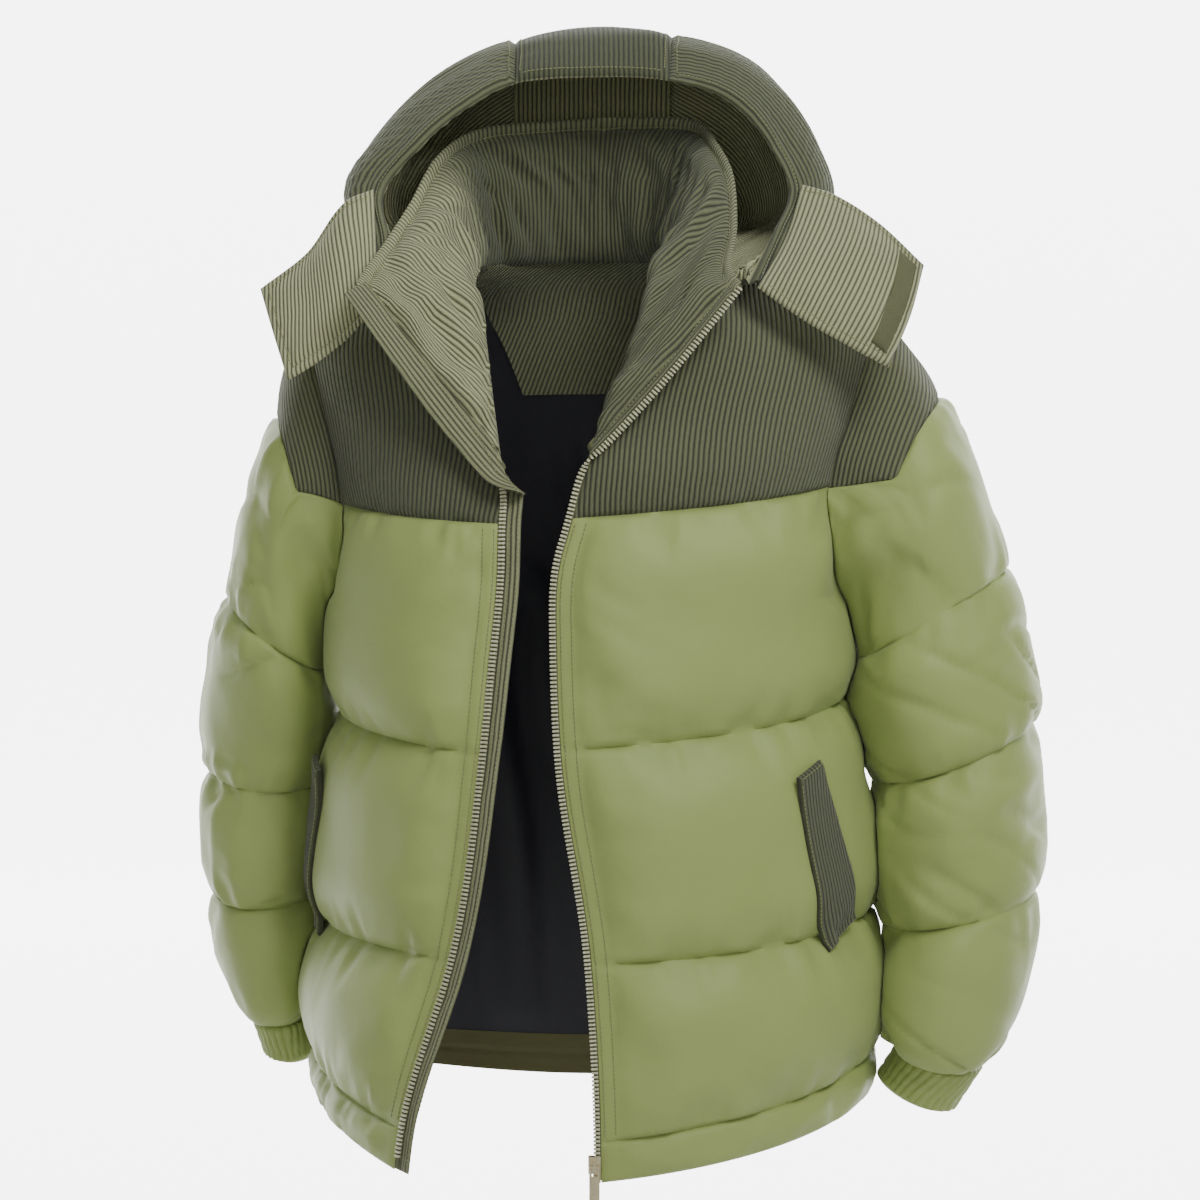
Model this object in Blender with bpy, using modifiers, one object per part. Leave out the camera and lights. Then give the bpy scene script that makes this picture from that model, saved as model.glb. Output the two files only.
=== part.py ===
"""Hooded quilted jacket, worn open, as hollow cloth walls at their real size.

Metres, +Z up. The front of the jacket faces -Y and its left side, as worn, is at +X.
The origin is the middle of the neck, between the shoulders. Tables are in millimetres.
"""

from math import cos, pi, radians, sin

import bmesh
import bpy
import numpy as np
from mathutils import Matrix

MM = 0.001
GAP = 0.3 * MM              # between pieces at a seam
RIM_ORDER = (1.0, 1.618, 2.414)     # both pieces at a seam split its rim the same way along this
WALL = 2.5 * MM             # shell at a seam, where the filling is sewn flat
ARM_GAP = 1.0 * MM          # the same at the top of a sleeve, where two swollen pieces meet
LINING = 1.0 * MM
BODY_PUFF = 13 * MM         # filling between two quilt lines, over the wall
YOKE_PUFF = 6 * MM
SLEEVE_PUFF = 8 * MM
HEM_PUFF = 4 * MM
CUFF_PUFF = 1.5 * MM
COLLAR_IN = 8 * MM          # the collar's filling on the face next to the neck
COLLAR_OUT = 4 * MM
HOOD_HALF = 4 * MM
HOOD_PUFF = 3 * MM
FLAP_HALF = 3 * MM
FLAP_PUFF = 2.5 * MM
PUFF_EDGE = 40 * MM         # how far from a seam the filling reaches its full height
ZIP_EDGE = 24 * MM          # the same, beside the zip
SIDE_EDGE = 60 * MM         # the same, beside an armhole or side seam
SIDE_SHARE = 0.35           # of the filling's height, kept at a side seam
UNDER_ARM_SHARE = 0.3       # of a sleeve's filling, kept on the side next to the body

LIGHT = ("light polyester", (0.33, 0.36, 0.18), 0.55, 0.0)
CORD = ("olive corduroy", (0.16, 0.17, 0.095), 0.9, 0.0)
DARK = ("dark lining", (0.013, 0.013, 0.018), 0.6, 0.0)
TAPE = ("zip tape", (0.20, 0.22, 0.11), 0.8, 0.0)
METAL = ("pale brass", (0.60, 0.56, 0.36), 0.35, 1.0)
HOOKS = ("hook tape", (0.12, 0.13, 0.06), 0.95, 0.0)

# Each front, one row for each line across it: the point at the zip or neck edge and the
# heading there, then the point at the armhole or side seam and the heading there.
# Headings are in plan, in degrees, from straight out sideways (0) to straight back (90).
FRONT_LEFT = (
    # line,        x,    y,    z,  heading,   x,    y,    z,  heading
    ("shoulder",  72,    0,    6,    0,     222,    4,  -36,    3),
    ("upper",     46,  -90,  -44,    0,     211,  -40,  -75,   45),
    ("roll",      18, -117, -104,    0,     195,  -60, -120,   55),
    ("break",     -1, -136, -143,    0,     187,  -67, -143,   55),
    ("yoke",     -12, -141, -183,    0,     183,  -68, -166,   55),
    ("low arm",  -23, -150, -225,    0,     187,  -52, -225,   65),
    ("underarm", -24, -157, -285,    0,     195,    0, -270,   90),
    ("quilt 1",  -21, -165, -356,    0,     198,    0, -335,   90),
    ("quilt 2",    2, -180, -516,   -3,     219,    0, -503,   90),
    ("hem seam",   9, -190, -650,   -3,     222,    0, -612,   90),
    ("hem",        9, -190, -681,   -3,     222,    0, -643,   90),
)
FRONT_RIGHT = (
    ("shoulder", -98,    0,   -3,    0,    -222,    4,  -36,    3),
    ("upper",    -86,  -80,  -46,    0,    -212,  -36,  -76,   45),
    ("roll",     -78, -116, -104,    5,    -200,  -56, -120,   55),
    ("break",    -67, -146, -157,    8,    -193,  -60, -150,   58),
    ("yoke",     -68, -162, -185,   10,    -189,  -62, -180,   62),
    ("low arm",  -69, -172, -228,   15,    -190,  -48, -228,   70),
    ("underarm", -75, -186, -290,   24,    -193,    0, -270,   92),
    ("quilt 1",  -81, -205, -352,   34,    -193,    0, -345,   92),
    ("quilt 2", -103, -238, -500,   46,    -206,    0, -510,   92),
    ("hem seam",-139, -258, -622,   58,    -214,    0, -606,   92),
    ("hem",     -143, -260, -652,   58,    -214,    0, -630,   92),
)
YOKE, UNDERARM, QUILT_1, QUILT_2, HEM_SEAM, HEM = 4, 6, 7, 8, 9, 10     # rows of these tables
ACROSS_FRONT = 9

# The back, one row for each line across it: its middle, then the armhole on each side,
# which from the underarm down is the side seam of the front.
BACK = (
    # line,       y,    z,    arm x, arm y, arm z
    ("neck",      81,    6,   222,     4,  -36),
    ("upper",    112,  -45,   212,    46,  -75),
    ("blade",    128, -108,   198,    68, -120),
    ("break",    134, -141,   193,    73, -145),
    ("yoke",     138, -170,   191,    74, -172),
    ("low arm",  145, -225,   192,    55, -226),
    ("underarm", 150, -270,   195,     0, -270),
    ("quilt 1",  155, -345,   200,     0, -340),
    ("quilt 2",  160, -505,   208,     0, -506),
    ("hem seam", 160, -648,   213,     0, -615),
    ("hem",      158, -681,   214,     0, -644),
)
ACROSS_NECK, ACROSS_SHOULDER = 3, 5

# Each sleeve, one row for each ring of stitching: the outer and the inner point, the x and z
# of the front and back points, and the y of the front and of the back.
SLEEVE_LEFT = (
    # ring,     outer x, z,   inner x, z,   middle x, z,  front y, back y
    ("cap",      272, -104,   212, -284,    233, -165,   -80,   84),
    ("quilt 1",  321, -238,   213, -306,    261, -268,   -82,   82),
    ("quilt 2",  342, -357,   232, -402,    284, -382,   -86,   68),
    ("quilt 3",  345, -488,   239, -515,    290, -503,   -92,   51),
    ("gather",   316, -602,   242, -600,    278, -604,   -84,   24),
    ("wrist",    308, -622,   247, -614,    277, -622,   -78,   16),
    ("cuff",     284, -660,   230, -640,    257, -652,   -72,    8),
)
SLEEVE_RIGHT = (
    ("cap",     -242, -120,  -211, -284,   -225, -175,   -70,   90),
    ("quilt 1", -282, -262,  -211, -318,   -244, -292,   -58,  102),
    ("quilt 2", -298, -402,  -216, -408,   -256, -410,   -32,  116),
    ("quilt 3", -296, -500,  -222, -498,   -259, -504,   -28,  106),
    ("gather",  -275, -584,  -224, -580,   -249, -586,   -14,   84),
    ("wrist",   -268, -600,  -227, -598,   -248, -602,    -8,   76),
    ("cuff",    -258, -630,  -222, -632,   -240, -633,    -4,   66),
)
CAP_RISE = 1.2              # points round the sleeve over which the cap's seam climbs its corner
CAP_TIP = 0.03              # the cap's length left at that corner

# The collar, from the left zip edge round the neck to the right one: bottom, middle and top.
COLLAR = (
    ((-1, -139, -138), (46, -135, -88), (114, -123, -7)),
    ((13, -125, -98), (64, -116, -44), (107, -100, 4)),
    ((40, -98, -32), (78, -80, 4), (113, -56, 34)),
    ((59, -50, -5), (84, -36, 36), (111, -9, 73)),
    ((68, 0, 9), (81, 11, 55), (99, 26, 97)),
    ((61, 46, 10), (70, 58, 62), (84, 68, 113)),
    ((30, 72, 9), (31, 82, 62), (36, 88, 115)),
    ((-32, 73, 8), (-31, 83, 60), (-32, 88, 112)),
    ((-80, 50, 4), (-87, 60, 50), (-92, 70, 105)),
    ((-92, 5, 1), (-106, 16, 42), (-120, 26, 85)),
    ((-88, -43, -12), (-114, -33, 18), (-139, -20, 50)),
    ((-80, -82, -42), (-116, -77, -10), (-156, -62, 22)),
    ((-72, -122, -98), (-121, -115, -52), (-171, -98, 0)),
    ((-64, -150, -153), (-117, -132, -88), (-178, -118, -14)),
)
COLLAR_STEPS, COLLAR_UP = 2, 6
LAPEL = 160 * MM            # the length at each end that lies on the front and swells only inwards

# The hood, from its right end over the head to its left end: the opening, the crest of the
# brim, the back of the head, the nape, and the edge at the neck seam.
HOOD = (
    ((-147, -86, -20), (-147, -80, -17), (-143, -72, -16), (-135, -66, -17), (-126, -60, -20)),
    ((-153, -52, 22), (-164, -36, 26), (-161, -20, 18), (-140, -14, 4), (-116, -38, -2)),
    ((-160, -18, 60), (-187, 4, 66), (-184, 34, 44), (-156, 46, 22), (-113, 10, 6)),
    ((-136, -8, 92), (-161, 28, 107), (-168, 74, 82), (-148, 96, 34), (-98, 54, 4)),
    ((-104, 0, 119), (-118, 42, 145), (-126, 112, 120), (-118, 137, 50), (-76, 80, 2)),
    ((-60, 7, 142), (-60, 50, 169), (-64, 142, 150), (-62, 168, 62), (-44, 90, 1)),
    ((2, 12, 147), (3, 54, 178), (2, 150, 160), (0, 180, 66), (0, 94, 0)),
    ((64, 8, 144), (66, 50, 174), (68, 142, 152), (64, 168, 62), (44, 90, 3)),
    ((113, 0, 127), (131, 42, 151), (138, 112, 122), (122, 137, 50), (74, 74, 7)),
    ((141, -8, 98), (167, 29, 112), (172, 75, 84), (148, 95, 36), (84, 44, 11)),
    ((156, -20, 64), (186, 6, 66), (183, 34, 44), (146, 46, 26), (88, 8, 13)),
    ((142, -52, 30), (158, -36, 30), (154, -24, 20), (128, -22, 8), (91, -34, 3)),
    ((121, -87, -10), (124, -80, -7), (122, -72, -6), (114, -66, -8), (104, -60, -12)),
)
HOOD_SEAMS = (5, 7)         # the stations where the middle strip meets the sides
ACROSS_HOOD, ALONG_HOOD = 2, 3

# Each chin flap, from its seam at the hood out to its free end: top, middle and bottom edge.
FLAP_LEFT = (
    ((163.4, -28.4, 64), (150.3, -58.2, 26), (127, -94, -12)),
    ((189, -28, 56), (180, -72, 12), (160, -105, -35)),
    ((222, -42, 35), (212, -82, -8), (193, -111, -54)),
    ((256, -57, 3), (243, -88, -36), (226, -105, -72)),
)
FLAP_RIGHT = (
    ((-166.3, -27.7, 60.4), (-163.3, -55.8, 20.5), (-159, -90, -23)),
    ((-189, -34, 50), (-187, -69, 4), (-181, -100, -48)),
    ((-215, -42, 14), (-211, -78, -24), (-203, -106, -66)),
    ((-252, -60, -15), (-240, -88, -48), (-228, -106, -82)),
)

# Each pocket's welt on its front below the yoke: the point across and the point down at its
# two top and two bottom corners, counted in the front's own points. The right front's points
# lie closer together, so that both pockets are as far from the zip.
POCKETS = {"left": (((4.8, 7.5), (5.6, 7.3)), ((5.45, 12.0), (6.65, 10.5))),
           "right": (((6.2, 7.5), (7.1, 7.3)), ((7.0, 12.0), (8.4, 10.5)))}
WELT_LIFT, WELT = 1.5 * MM, 3 * MM
WELT_ACROSS, WELT_DOWN = 4, 12
NECK_FACING = {"top": 0.375, "bottom": 0.22, "lift": 1.8 * MM, "thick": 1.2 * MM}
HEM_FACING = 1.5 * MM
CHAIN = {"from": -1.0 * MM, "from_at_turn": -1.6 * MM, "to": -5.3 * MM, "thick": 2.2 * MM}
GUARD = {"sewn": 11 * MM, "past": -17 * MM, "thick": 1.6 * MM, "lift": 1.0 * MM,
         "lift_on_lapel": 3.8 * MM, "lift_at_turn": 5.4 * MM, "sewn_at_turn": 1.5 * MM}
BOX = {"tall": 7 * MM, "thick": 3.4 * MM}
SLIDER = {"wide": 9.4 * MM, "long": 13 * MM, "plate": 1.2 * MM, "room": 2.9 * MM, "post": 1.9 * MM}
BRIDGE = {"wide": 2 * MM, "long": 8 * MM, "out": 4.4 * MM, "hole": 2.6 * MM, "hole_long": 4.6 * MM}
TAB = {"wide": 8 * MM, "long": 30 * MM, "thick": 1.4 * MM, "slot_wide": 4 * MM, "slot_long": 6 * MM}
TAB_BAR = 1.6 * MM
PATCH = {"corners": (((7.4, 0.8), (8.6, 0.7)), ((7.3, 7.2), (8.5, 7.3))),
         "lift": 0.6 * MM, "thick": 0.8 * MM}


# ---- the scene -------------------------------------------------------------------------

for old in list(bpy.data.objects):
    bpy.data.objects.remove(old)

PARTS = bpy.data.collections.new("hooded_quilted_jacket")
CUTTERS = bpy.data.collections.new("cutters")
bpy.context.scene.collection.children.link(PARTS)
bpy.context.scene.collection.children.link(CUTTERS)


def material(finish):
    name, colour, roughness, metallic = finish
    made = bpy.data.materials.get(name)
    if made is None:
        made = bpy.data.materials.new(name)
        made.use_nodes = True
        shader = made.node_tree.nodes["Principled BSDF"]
        shader.inputs["Base Color"].default_value = (*colour, 1.0)
        shader.inputs["Roughness"].default_value = roughness
        shader.inputs["Metallic"].default_value = metallic
    return made


def add(name, mesh, finish, collection=PARTS):
    made = bpy.data.objects.new(name, mesh)
    mesh.materials.append(material(finish))
    collection.objects.link(made)
    return made


# ---- curves and lofts ------------------------------------------------------------------


def through(points, at):
    """The smooth curve through the points, read at places counted in points from the first.

    The points may be rows of points; the curve then runs from row to row.
    """
    points = np.asarray(points, float)
    at = np.asarray(at, float)
    spans = np.diff(points, axis=0)
    flat = np.linalg.norm(spans, axis=-1).reshape(len(spans), -1).mean(axis=1)
    slopes = spans / flat.reshape(-1, *[1] * (points.ndim - 1))
    tangents = np.empty_like(points)
    tangents[0], tangents[-1] = slopes[0], slopes[-1]
    for i in range(1, len(points) - 1):
        before, after = flat[i - 1], flat[i]
        tangents[i] = (slopes[i - 1] * after + slopes[i] * before) / (before + after)
    low = np.clip(np.floor(at).astype(int), 0, len(points) - 2)
    wide = (-1, *[1] * (points.ndim - 1))
    t, length = (at - low).reshape(wide), flat[low].reshape(wide)
    return (
        (2 * t**3 - 3 * t**2 + 1) * points[low]
        + (t**3 - 2 * t**2 + t) * length * tangents[low]
        + (3 * t**2 - 2 * t**3) * points[low + 1]
        + (t**3 - t**2) * length * tangents[low + 1]
    )


def even(count):
    """So many equal steps, as fractions of the way."""
    return [(k + 1) / count for k in range(count)]


def eased(count):
    """So many steps, short at both ends, where the filling swells up from a seam."""
    return [0.5 - 0.5 * cos(pi * (k + 1) / count) for k in range(count)]


def places(steps):
    """Where to read a curve, from the fractions of each of its spans."""
    return np.array([0.0] + [i + part for i, parts in enumerate(steps) for part in parts])


def plan_curve(start, start_turn, end, end_turn, count, side, level=False):
    """A curve across the body whose heading in plan is given at both ends.

    Its height changes evenly, or where it starts level, only further on.
    """
    start, end = np.array(start, float), np.array(end, float)
    reach = 0.38 * np.hypot(*(end - start)[:2])
    out = [np.array([side * cos(radians(a)), sin(radians(a)), 0.0]) for a in (start_turn, end_turn)]
    third = np.array([0, 0, (end[2] - start[2]) / 3])
    first, second = start + reach * out[0] + (0 if level else third), end - reach * out[1] - third
    t = np.linspace(0, 1, count + 1)[:, None]
    return (1 - t)**3 * start + 3 * t * (1 - t)**2 * first + 3 * t**2 * (1 - t) * second + t**3 * end


def normals_of(grid, ring=False):
    """Unit normals of a grid of points; its first axis may close on itself."""
    if ring:
        along = np.roll(grid, -1, axis=0) - np.roll(grid, 1, axis=0)
    else:
        along = np.gradient(grid, axis=0)
    found = np.cross(along, np.gradient(grid, axis=1))
    return found / np.maximum(np.linalg.norm(found, axis=-1, keepdims=True), 1e-12)


def lengths_from_start(grid, axis):
    steps = np.linalg.norm(np.diff(grid, axis=axis), axis=-1)
    first = np.zeros_like(np.take(steps, [0], axis=axis))
    return np.concatenate([first, np.cumsum(steps, axis=axis)], axis=axis)


def dome(distance, edge=PUFF_EDGE):
    """The filling's height, from 0 at a seam to 1 where it is full."""
    return np.sin(pi / 2 * np.clip(distance / edge, 0, 1)) ** 0.8


def fill(grid, first=PUFF_EDGE, last=PUFF_EDGE, first_share=0.0, last_share=0.0, ring=False):
    """The filling's height over a grid, from 0 at its two quilt lines to 1 where it is full.

    It falls to the given share of itself at the first and last columns, from so far off.
    """
    run = lengths_from_start(grid, 1)
    half = np.minimum(PUFF_EDGE, 0.5 * run[:, -1:])
    height = dome(run, half) * dome(run[:, -1:] - run, half)
    if not ring:
        across = lengths_from_start(grid, 0)
        height = height * (first_share + (1 - first_share) * dome(across, first))
        height = height * (last_share + (1 - last_share) * dome(across[-1:] - across, last))
    return height


# ---- from grids to closed walls --------------------------------------------------------


def inset(grid, by, axis):
    """The grid with its two ends along an axis drawn in, to leave half a seam's gap."""
    drawn = np.moveaxis(grid.copy(), axis, 0)
    for end, beside, share in ((0, 1, by[0]), (-1, -2, by[1])):
        way = drawn[beside] - drawn[end]
        length = np.maximum(np.linalg.norm(way, axis=-1, keepdims=True), 1e-9)
        drawn[end] = drawn[end] + way / length * np.minimum(share, 0.4 * length)
    return np.moveaxis(drawn, 0, axis)


def closed_wall(name, outer, inner, finish, ring=False):
    """A closed solid between two grids of points, joined round their edges."""
    across, along = outer.shape[:2]
    count = across * along
    number = np.arange(count).reshape(across, along)
    faces = []
    for i in range(across if ring else across - 1):
        k = (i + 1) % across
        for j in range(along - 1):
            a, b, c, d = number[i, j], number[k, j], number[k, j + 1], number[i, j + 1]
            faces += [(a, b, c), (a, c, d), (c + count, b + count, a + count)]
            faces.append((d + count, c + count, a + count))
    rims = [list(number[:, 0]), list(reversed(number[:, -1]))]
    if ring:
        rims = [rim + rim[:1] for rim in rims]
    else:
        rims = [rims[0] + list(number[-1, 1:]) + rims[1][1:] + list(reversed(number[0, :-1]))]
    points = np.concatenate([outer.reshape(-1, 3), inner.reshape(-1, 3)])
    order = points @ RIM_ORDER
    for rim in rims:
        for a, b in zip(rim, rim[1:]):
            if order[a] < order[b]:
                faces += [(b, a, a + count), (b, a + count, b + count)]
            else:
                faces += [(b, a, b + count), (a, a + count, b + count)]
    mesh = bpy.data.meshes.new(name)
    mesh.from_pydata(points.tolist(), [], [[int(n) for n in face] for face in faces])
    tidy = bmesh.new()
    tidy.from_mesh(mesh)
    if tidy.calc_volume(signed=True) < 0:
        bmesh.ops.reverse_faces(tidy, faces=tidy.faces)
    tidy.to_mesh(mesh)
    tidy.free()
    mesh.shade_smooth()
    mesh.set_sharp_from_angle(angle=radians(50))
    return add(name, mesh, finish)


def wall(name, base, normals, rise, drop, finish, ring=False, top=GAP / 2):
    """A closed wall that stands off a base surface by rise outwards and drop inwards."""
    base = inset(base, (top, GAP / 2), 1)
    if not ring:
        base = inset(base, (GAP / 2, GAP / 2), 0)
    rise = np.broadcast_to(rise, base.shape[:2])[..., None]
    drop = np.broadcast_to(drop, base.shape[:2])[..., None]
    return closed_wall(name, base + normals * rise, base - normals * drop, finish, ring)


def share_normals(surfaces):
    """Gives the points where surfaces meet one normal, so that their walls stay apart."""
    found = {}
    for surface in surfaces:
        surface["keys"] = np.round(surface["grid"] / (0.02 * MM)).astype(int)
        for key, normal in zip(surface["keys"].reshape(-1, 3), surface["normals"].reshape(-1, 3)):
            found.setdefault(tuple(key), {})[tuple(np.round(normal, 4))] = normal
    for surface in surfaces:
        for place in np.ndindex(surface["normals"].shape[:2]):
            group = found[tuple(surface["keys"][place])]
            if len(group) > 1:
                mean = np.sum(list(group.values()), axis=0)
                surface["normals"][place] = mean / max(np.linalg.norm(mean), 1e-9)


# ---- the body's surfaces ---------------------------------------------------------------

DOWN = (even(2), even(2), even(1), even(1), [0.3, 1], even(2), [0.65, 1], eased(5), eased(5), even(2))
DOWN_SLEEVE = (even(3), eased(4), eased(4), eased(4), [0.15, 0.5, 1], [0.6, 1])
DOWN_CUFF = (even(2),)


def row_at(number):
    """Where a row of the tables lies among the points of the lofts down the body."""
    return sum(len(parts) for parts in DOWN[:number])


def front_surface(rows, side):
    """A front from its zip edge (first axis) to its side, shoulder to hem (second axis)."""
    curves = []
    for _, x, y, z, turn, side_x, side_y, side_z, side_turn in rows:
        curves.append(plan_curve((x, y, z), turn, (side_x, side_y, side_z), side_turn, ACROSS_FRONT, side))
    grid = through(curves, places(DOWN)).swapaxes(0, 1) * MM
    return {"grid": grid, "normals": -side * normals_of(grid)}


def back_surface(left, right):
    """The back from the left side (first axis) to the right, neck to hem (second axis)."""
    curves = []
    for number, (_, y, z, arm_x, arm_y, arm_z) in enumerate(BACK):
        halves = []
        for side, front_rows in ((1, FRONT_LEFT), (-1, FRONT_RIGHT)):
            end = (side * arm_x, arm_y, arm_z)
            if number >= UNDERARM:
                end = front_rows[number][5:8]
            count = ACROSS_NECK + ACROSS_SHOULDER
            if number:
                half = plan_curve((0, y, z), 0, end, -80, count, side, level=True)
            else:
                neck = front_rows[0][1:4]
                round_neck = plan_curve((0, y, z), 0, neck, -88, ACROSS_NECK, side)
                shoulder = np.linspace(neck, end, ACROSS_SHOULDER + 1)
                half = np.concatenate([round_neck, shoulder[1:]])
            halves.append(half)
        curves.append(np.concatenate([halves[0][::-1], halves[1][1:]]))
    grid = through(curves, places(DOWN)).swapaxes(0, 1) * MM
    underarm = row_at(UNDERARM)
    grid[0, underarm:] = left["grid"][-1, underarm:]
    grid[-1, underarm:] = right["grid"][-1, underarm:]
    for end, front in ((0, left), (-1, right)):
        grid[end, 0] = front["grid"][-1, 0]
    return {"grid": grid, "normals": -normals_of(grid)}


def armhole_ring(front, back_column):
    """The armhole from the shoulder down the front to the underarm, and up the back."""
    underarm = row_at(UNDERARM)
    down = front["grid"][-1, :underarm + 1]
    up = back_column[1:underarm][::-1]
    return np.concatenate([down, up])


def ring_row(row, angles):
    """A ring of stitching: four points round it, and the smooth loop through them."""
    _, out_x, out_z, in_x, in_z, mid_x, mid_z, front_y, back_y = row
    centre_y = (front_y + back_y) / 2
    outer, inner = np.array([out_x, centre_y, out_z]), np.array([in_x, centre_y, in_z])
    front, back = np.array([mid_x, front_y, mid_z]), np.array([mid_x, back_y, mid_z])
    lift = ((outer + inner) - (front + back)) / 4
    middle = (outer + inner + front + back) / 4
    turn = angles[:, None]
    return (
        middle
        + (outer - inner) / 2 * np.cos(turn)
        + (front - back) / 2 * np.sin(turn)
        + lift * np.cos(2 * turn)
    )


def sleeve_surface(armhole, rows, side):
    """A sleeve round its rings (first axis), from the armhole to the wrist (second axis)."""
    half = row_at(UNDERARM)
    count = len(armhole)
    angles = np.array([pi * i / half if i <= half else pi + pi * (i - half) / (count - half)
                       for i in range(count)])
    rings = [ring_row(row, angles) for row in rows]
    grid = through([armhole / MM] + rings[:-1], places(DOWN_SLEEVE)).swapaxes(0, 1) * MM
    cuff = through(rings[-2:], places(DOWN_CUFF)).swapaxes(0, 1) * MM
    return (
        {"grid": grid, "normals": side * normals_of(grid, ring=True)},
        {"grid": cuff, "normals": side * normals_of(cuff, ring=True)},
    )


left_front = front_surface(FRONT_LEFT, 1)
right_front = front_surface(FRONT_RIGHT, -1)
back = back_surface(left_front, right_front)
left_sleeve, left_cuff = sleeve_surface(armhole_ring(left_front, back["grid"][0]), SLEEVE_LEFT, 1)
right_sleeve, right_cuff = sleeve_surface(armhole_ring(right_front, back["grid"][-1]), SLEEVE_RIGHT, -1)
for front, side in ((left_front, 1), (right_front, -1)):
    front["normals"][:, 0] = np.array([0.25 * side, 0, 0.968])
for end, side in ((slice(0, ACROSS_SHOULDER + 1), 1), (slice(-ACROSS_SHOULDER - 1, None), -1)):
    back["normals"][end, 0] = np.array([0.25 * side, 0, 0.968])
share_normals([left_front, right_front, back])


def mitre_armhole(front, back_end, back_beside, sleeve):
    """Gives the armhole's points normals halfway between the body and the sleeve."""
    underarm = row_at(UNDERARM)
    count = len(sleeve["grid"])
    points = sleeve["grid"][:, 0]
    along = np.roll(points, -1, axis=0) - np.roll(points, 1, axis=0)
    into_sleeve = sleeve["grid"][:, 1] - points
    for i in range(count):
        row = min(i, count - i)
        ways = []
        if i <= underarm:
            ways.append(front["grid"][-2, row] - front["grid"][-1, row])
        if i >= underarm or i == 0:
            ways.append(back["grid"][back_beside, row] - back["grid"][back_end, row])
        way = sum(w / np.linalg.norm(w) for w in ways)
        sides = []
        for side in (into_sleeve[i], way):
            square = side - along[i] * np.dot(side, along[i]) / np.dot(along[i], along[i])
            sides.append(square / np.linalg.norm(square))
        normal = np.cross(along[i], sides[0] - sides[1])
        normal = normal / np.linalg.norm(normal)
        normal *= np.sign(np.dot(normal, sleeve["normals"][i, 0]))
        sleeve["normals"][i, 0] = normal
        if i <= underarm:
            front["normals"][-1, row] = normal
        if i >= underarm or i == 0:
            back["normals"][back_end, row] = normal


mitre_armhole(left_front, 0, 1, left_sleeve)
mitre_armhole(right_front, -1, -2, right_sleeve)
share_normals([left_sleeve, left_cuff])
share_normals([right_sleeve, right_cuff])


# ---- the body's pieces -----------------------------------------------------------------


def side_share(first, last):
    """What the filling keeps at the side in each row: nothing beside the armhole."""
    below = np.arange(row_at(first), row_at(last) + 1) - row_at(UNDERARM)
    return SIDE_SHARE * np.clip(below / 3, 0, 1)


def body_height(grid, first, last, full, at_zip):
    """The wall's rise from one row to another, puffed between the quilt lines among them."""
    rise = np.full(grid.shape[:2], WALL)
    share = side_share(first, last)
    lines = [n for n in (0, YOKE, QUILT_1, QUILT_2, HEM_SEAM, HEM) if first <= n <= last]
    for top, bottom in zip(lines, lines[1:]):
        rows = slice(row_at(top) - row_at(first), row_at(bottom) - row_at(first) + 1)
        near, near_share = (ZIP_EDGE, 0.0) if at_zip else (SIDE_EDGE, share[rows])
        rise[:, rows] += full * fill(grid[:, rows], near, SIDE_EDGE, near_share, share[rows])
    return rise


def body_piece(name, surface, first, last, full, finish):
    span = slice(row_at(first), row_at(last) + 1)
    grid, normals = surface["grid"][:, span], surface["normals"][:, span]
    rise = body_height(grid, first, last, full, at_zip=surface is not back)
    wall(name, grid, normals, rise, 0.0, finish)
    return grid + normals * rise[..., None]


OUTSIDE = {}
for name, surface in (("front_left", left_front), ("front_right", right_front), ("back", back)):
    body_piece(name + "_yoke", surface, 0, YOKE, YOKE_PUFF, CORD)
    OUTSIDE[name] = body_piece(name + "_body", surface, YOKE, HEM_SEAM, BODY_PUFF, LIGHT)
    body_piece(name + "_hem", surface, HEM_SEAM, HEM, HEM_PUFF, LIGHT)


def lining_piece(name, surface, first_column, last_column, first_row, last_row):
    """Lining that lies on the plain inside of the shell."""
    columns, rows = slice(first_column, last_column), slice(first_row, last_row)
    grid, normals = surface["grid"][columns, rows], surface["normals"][columns, rows]
    wall(name, grid, normals, -GAP, GAP + LINING, DARK)


HEM_FROM = row_at(HEM_SEAM)
lining_piece("lining_back", back, None, None, 1, HEM_FROM + 1)
lining_piece("lining_left", left_front, 1, None, row_at(YOKE) - 1, HEM_FROM + 1)
lining_piece("lining_right", right_front, 1, None, row_at(YOKE) - 1, HEM_FROM + 1)
for name, surface, start in (("left", left_front, 1), ("right", right_front, 1), ("back", back, 0)):
    grid, normals = surface["grid"][start:, HEM_FROM:], surface["normals"][start:, HEM_FROM:]
    wall("hem_facing_" + name, grid, normals, -GAP, GAP + HEM_FACING, LIGHT)


def neck_facing():
    """The shaped facing inside the back of the neck, which lies on the lining."""
    middle = ACROSS_NECK + ACROSS_SHOULDER
    rows = row_at(2) + 1
    lie = back["grid"] - back["normals"] * (2 * GAP + LINING + NECK_FACING["lift"])
    across = np.linspace(-1, 1, 9)
    grid = []
    for j in range(rows):
        half = middle * np.interp(j, [0, rows - 1], [NECK_FACING["top"], NECK_FACING["bottom"]])
        at = middle + across * half
        columns = np.arange(2 * middle + 1)
        grid.append(np.stack([np.interp(at, columns, lie[:, j, k]) for k in range(3)], axis=-1))
    grid = np.array(grid).swapaxes(0, 1)
    wall("neck_facing", grid, -normals_of(grid), 0.0, NECK_FACING["thick"], CORD)


neck_facing()


# ---- sleeves and cuffs -----------------------------------------------------------------


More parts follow.
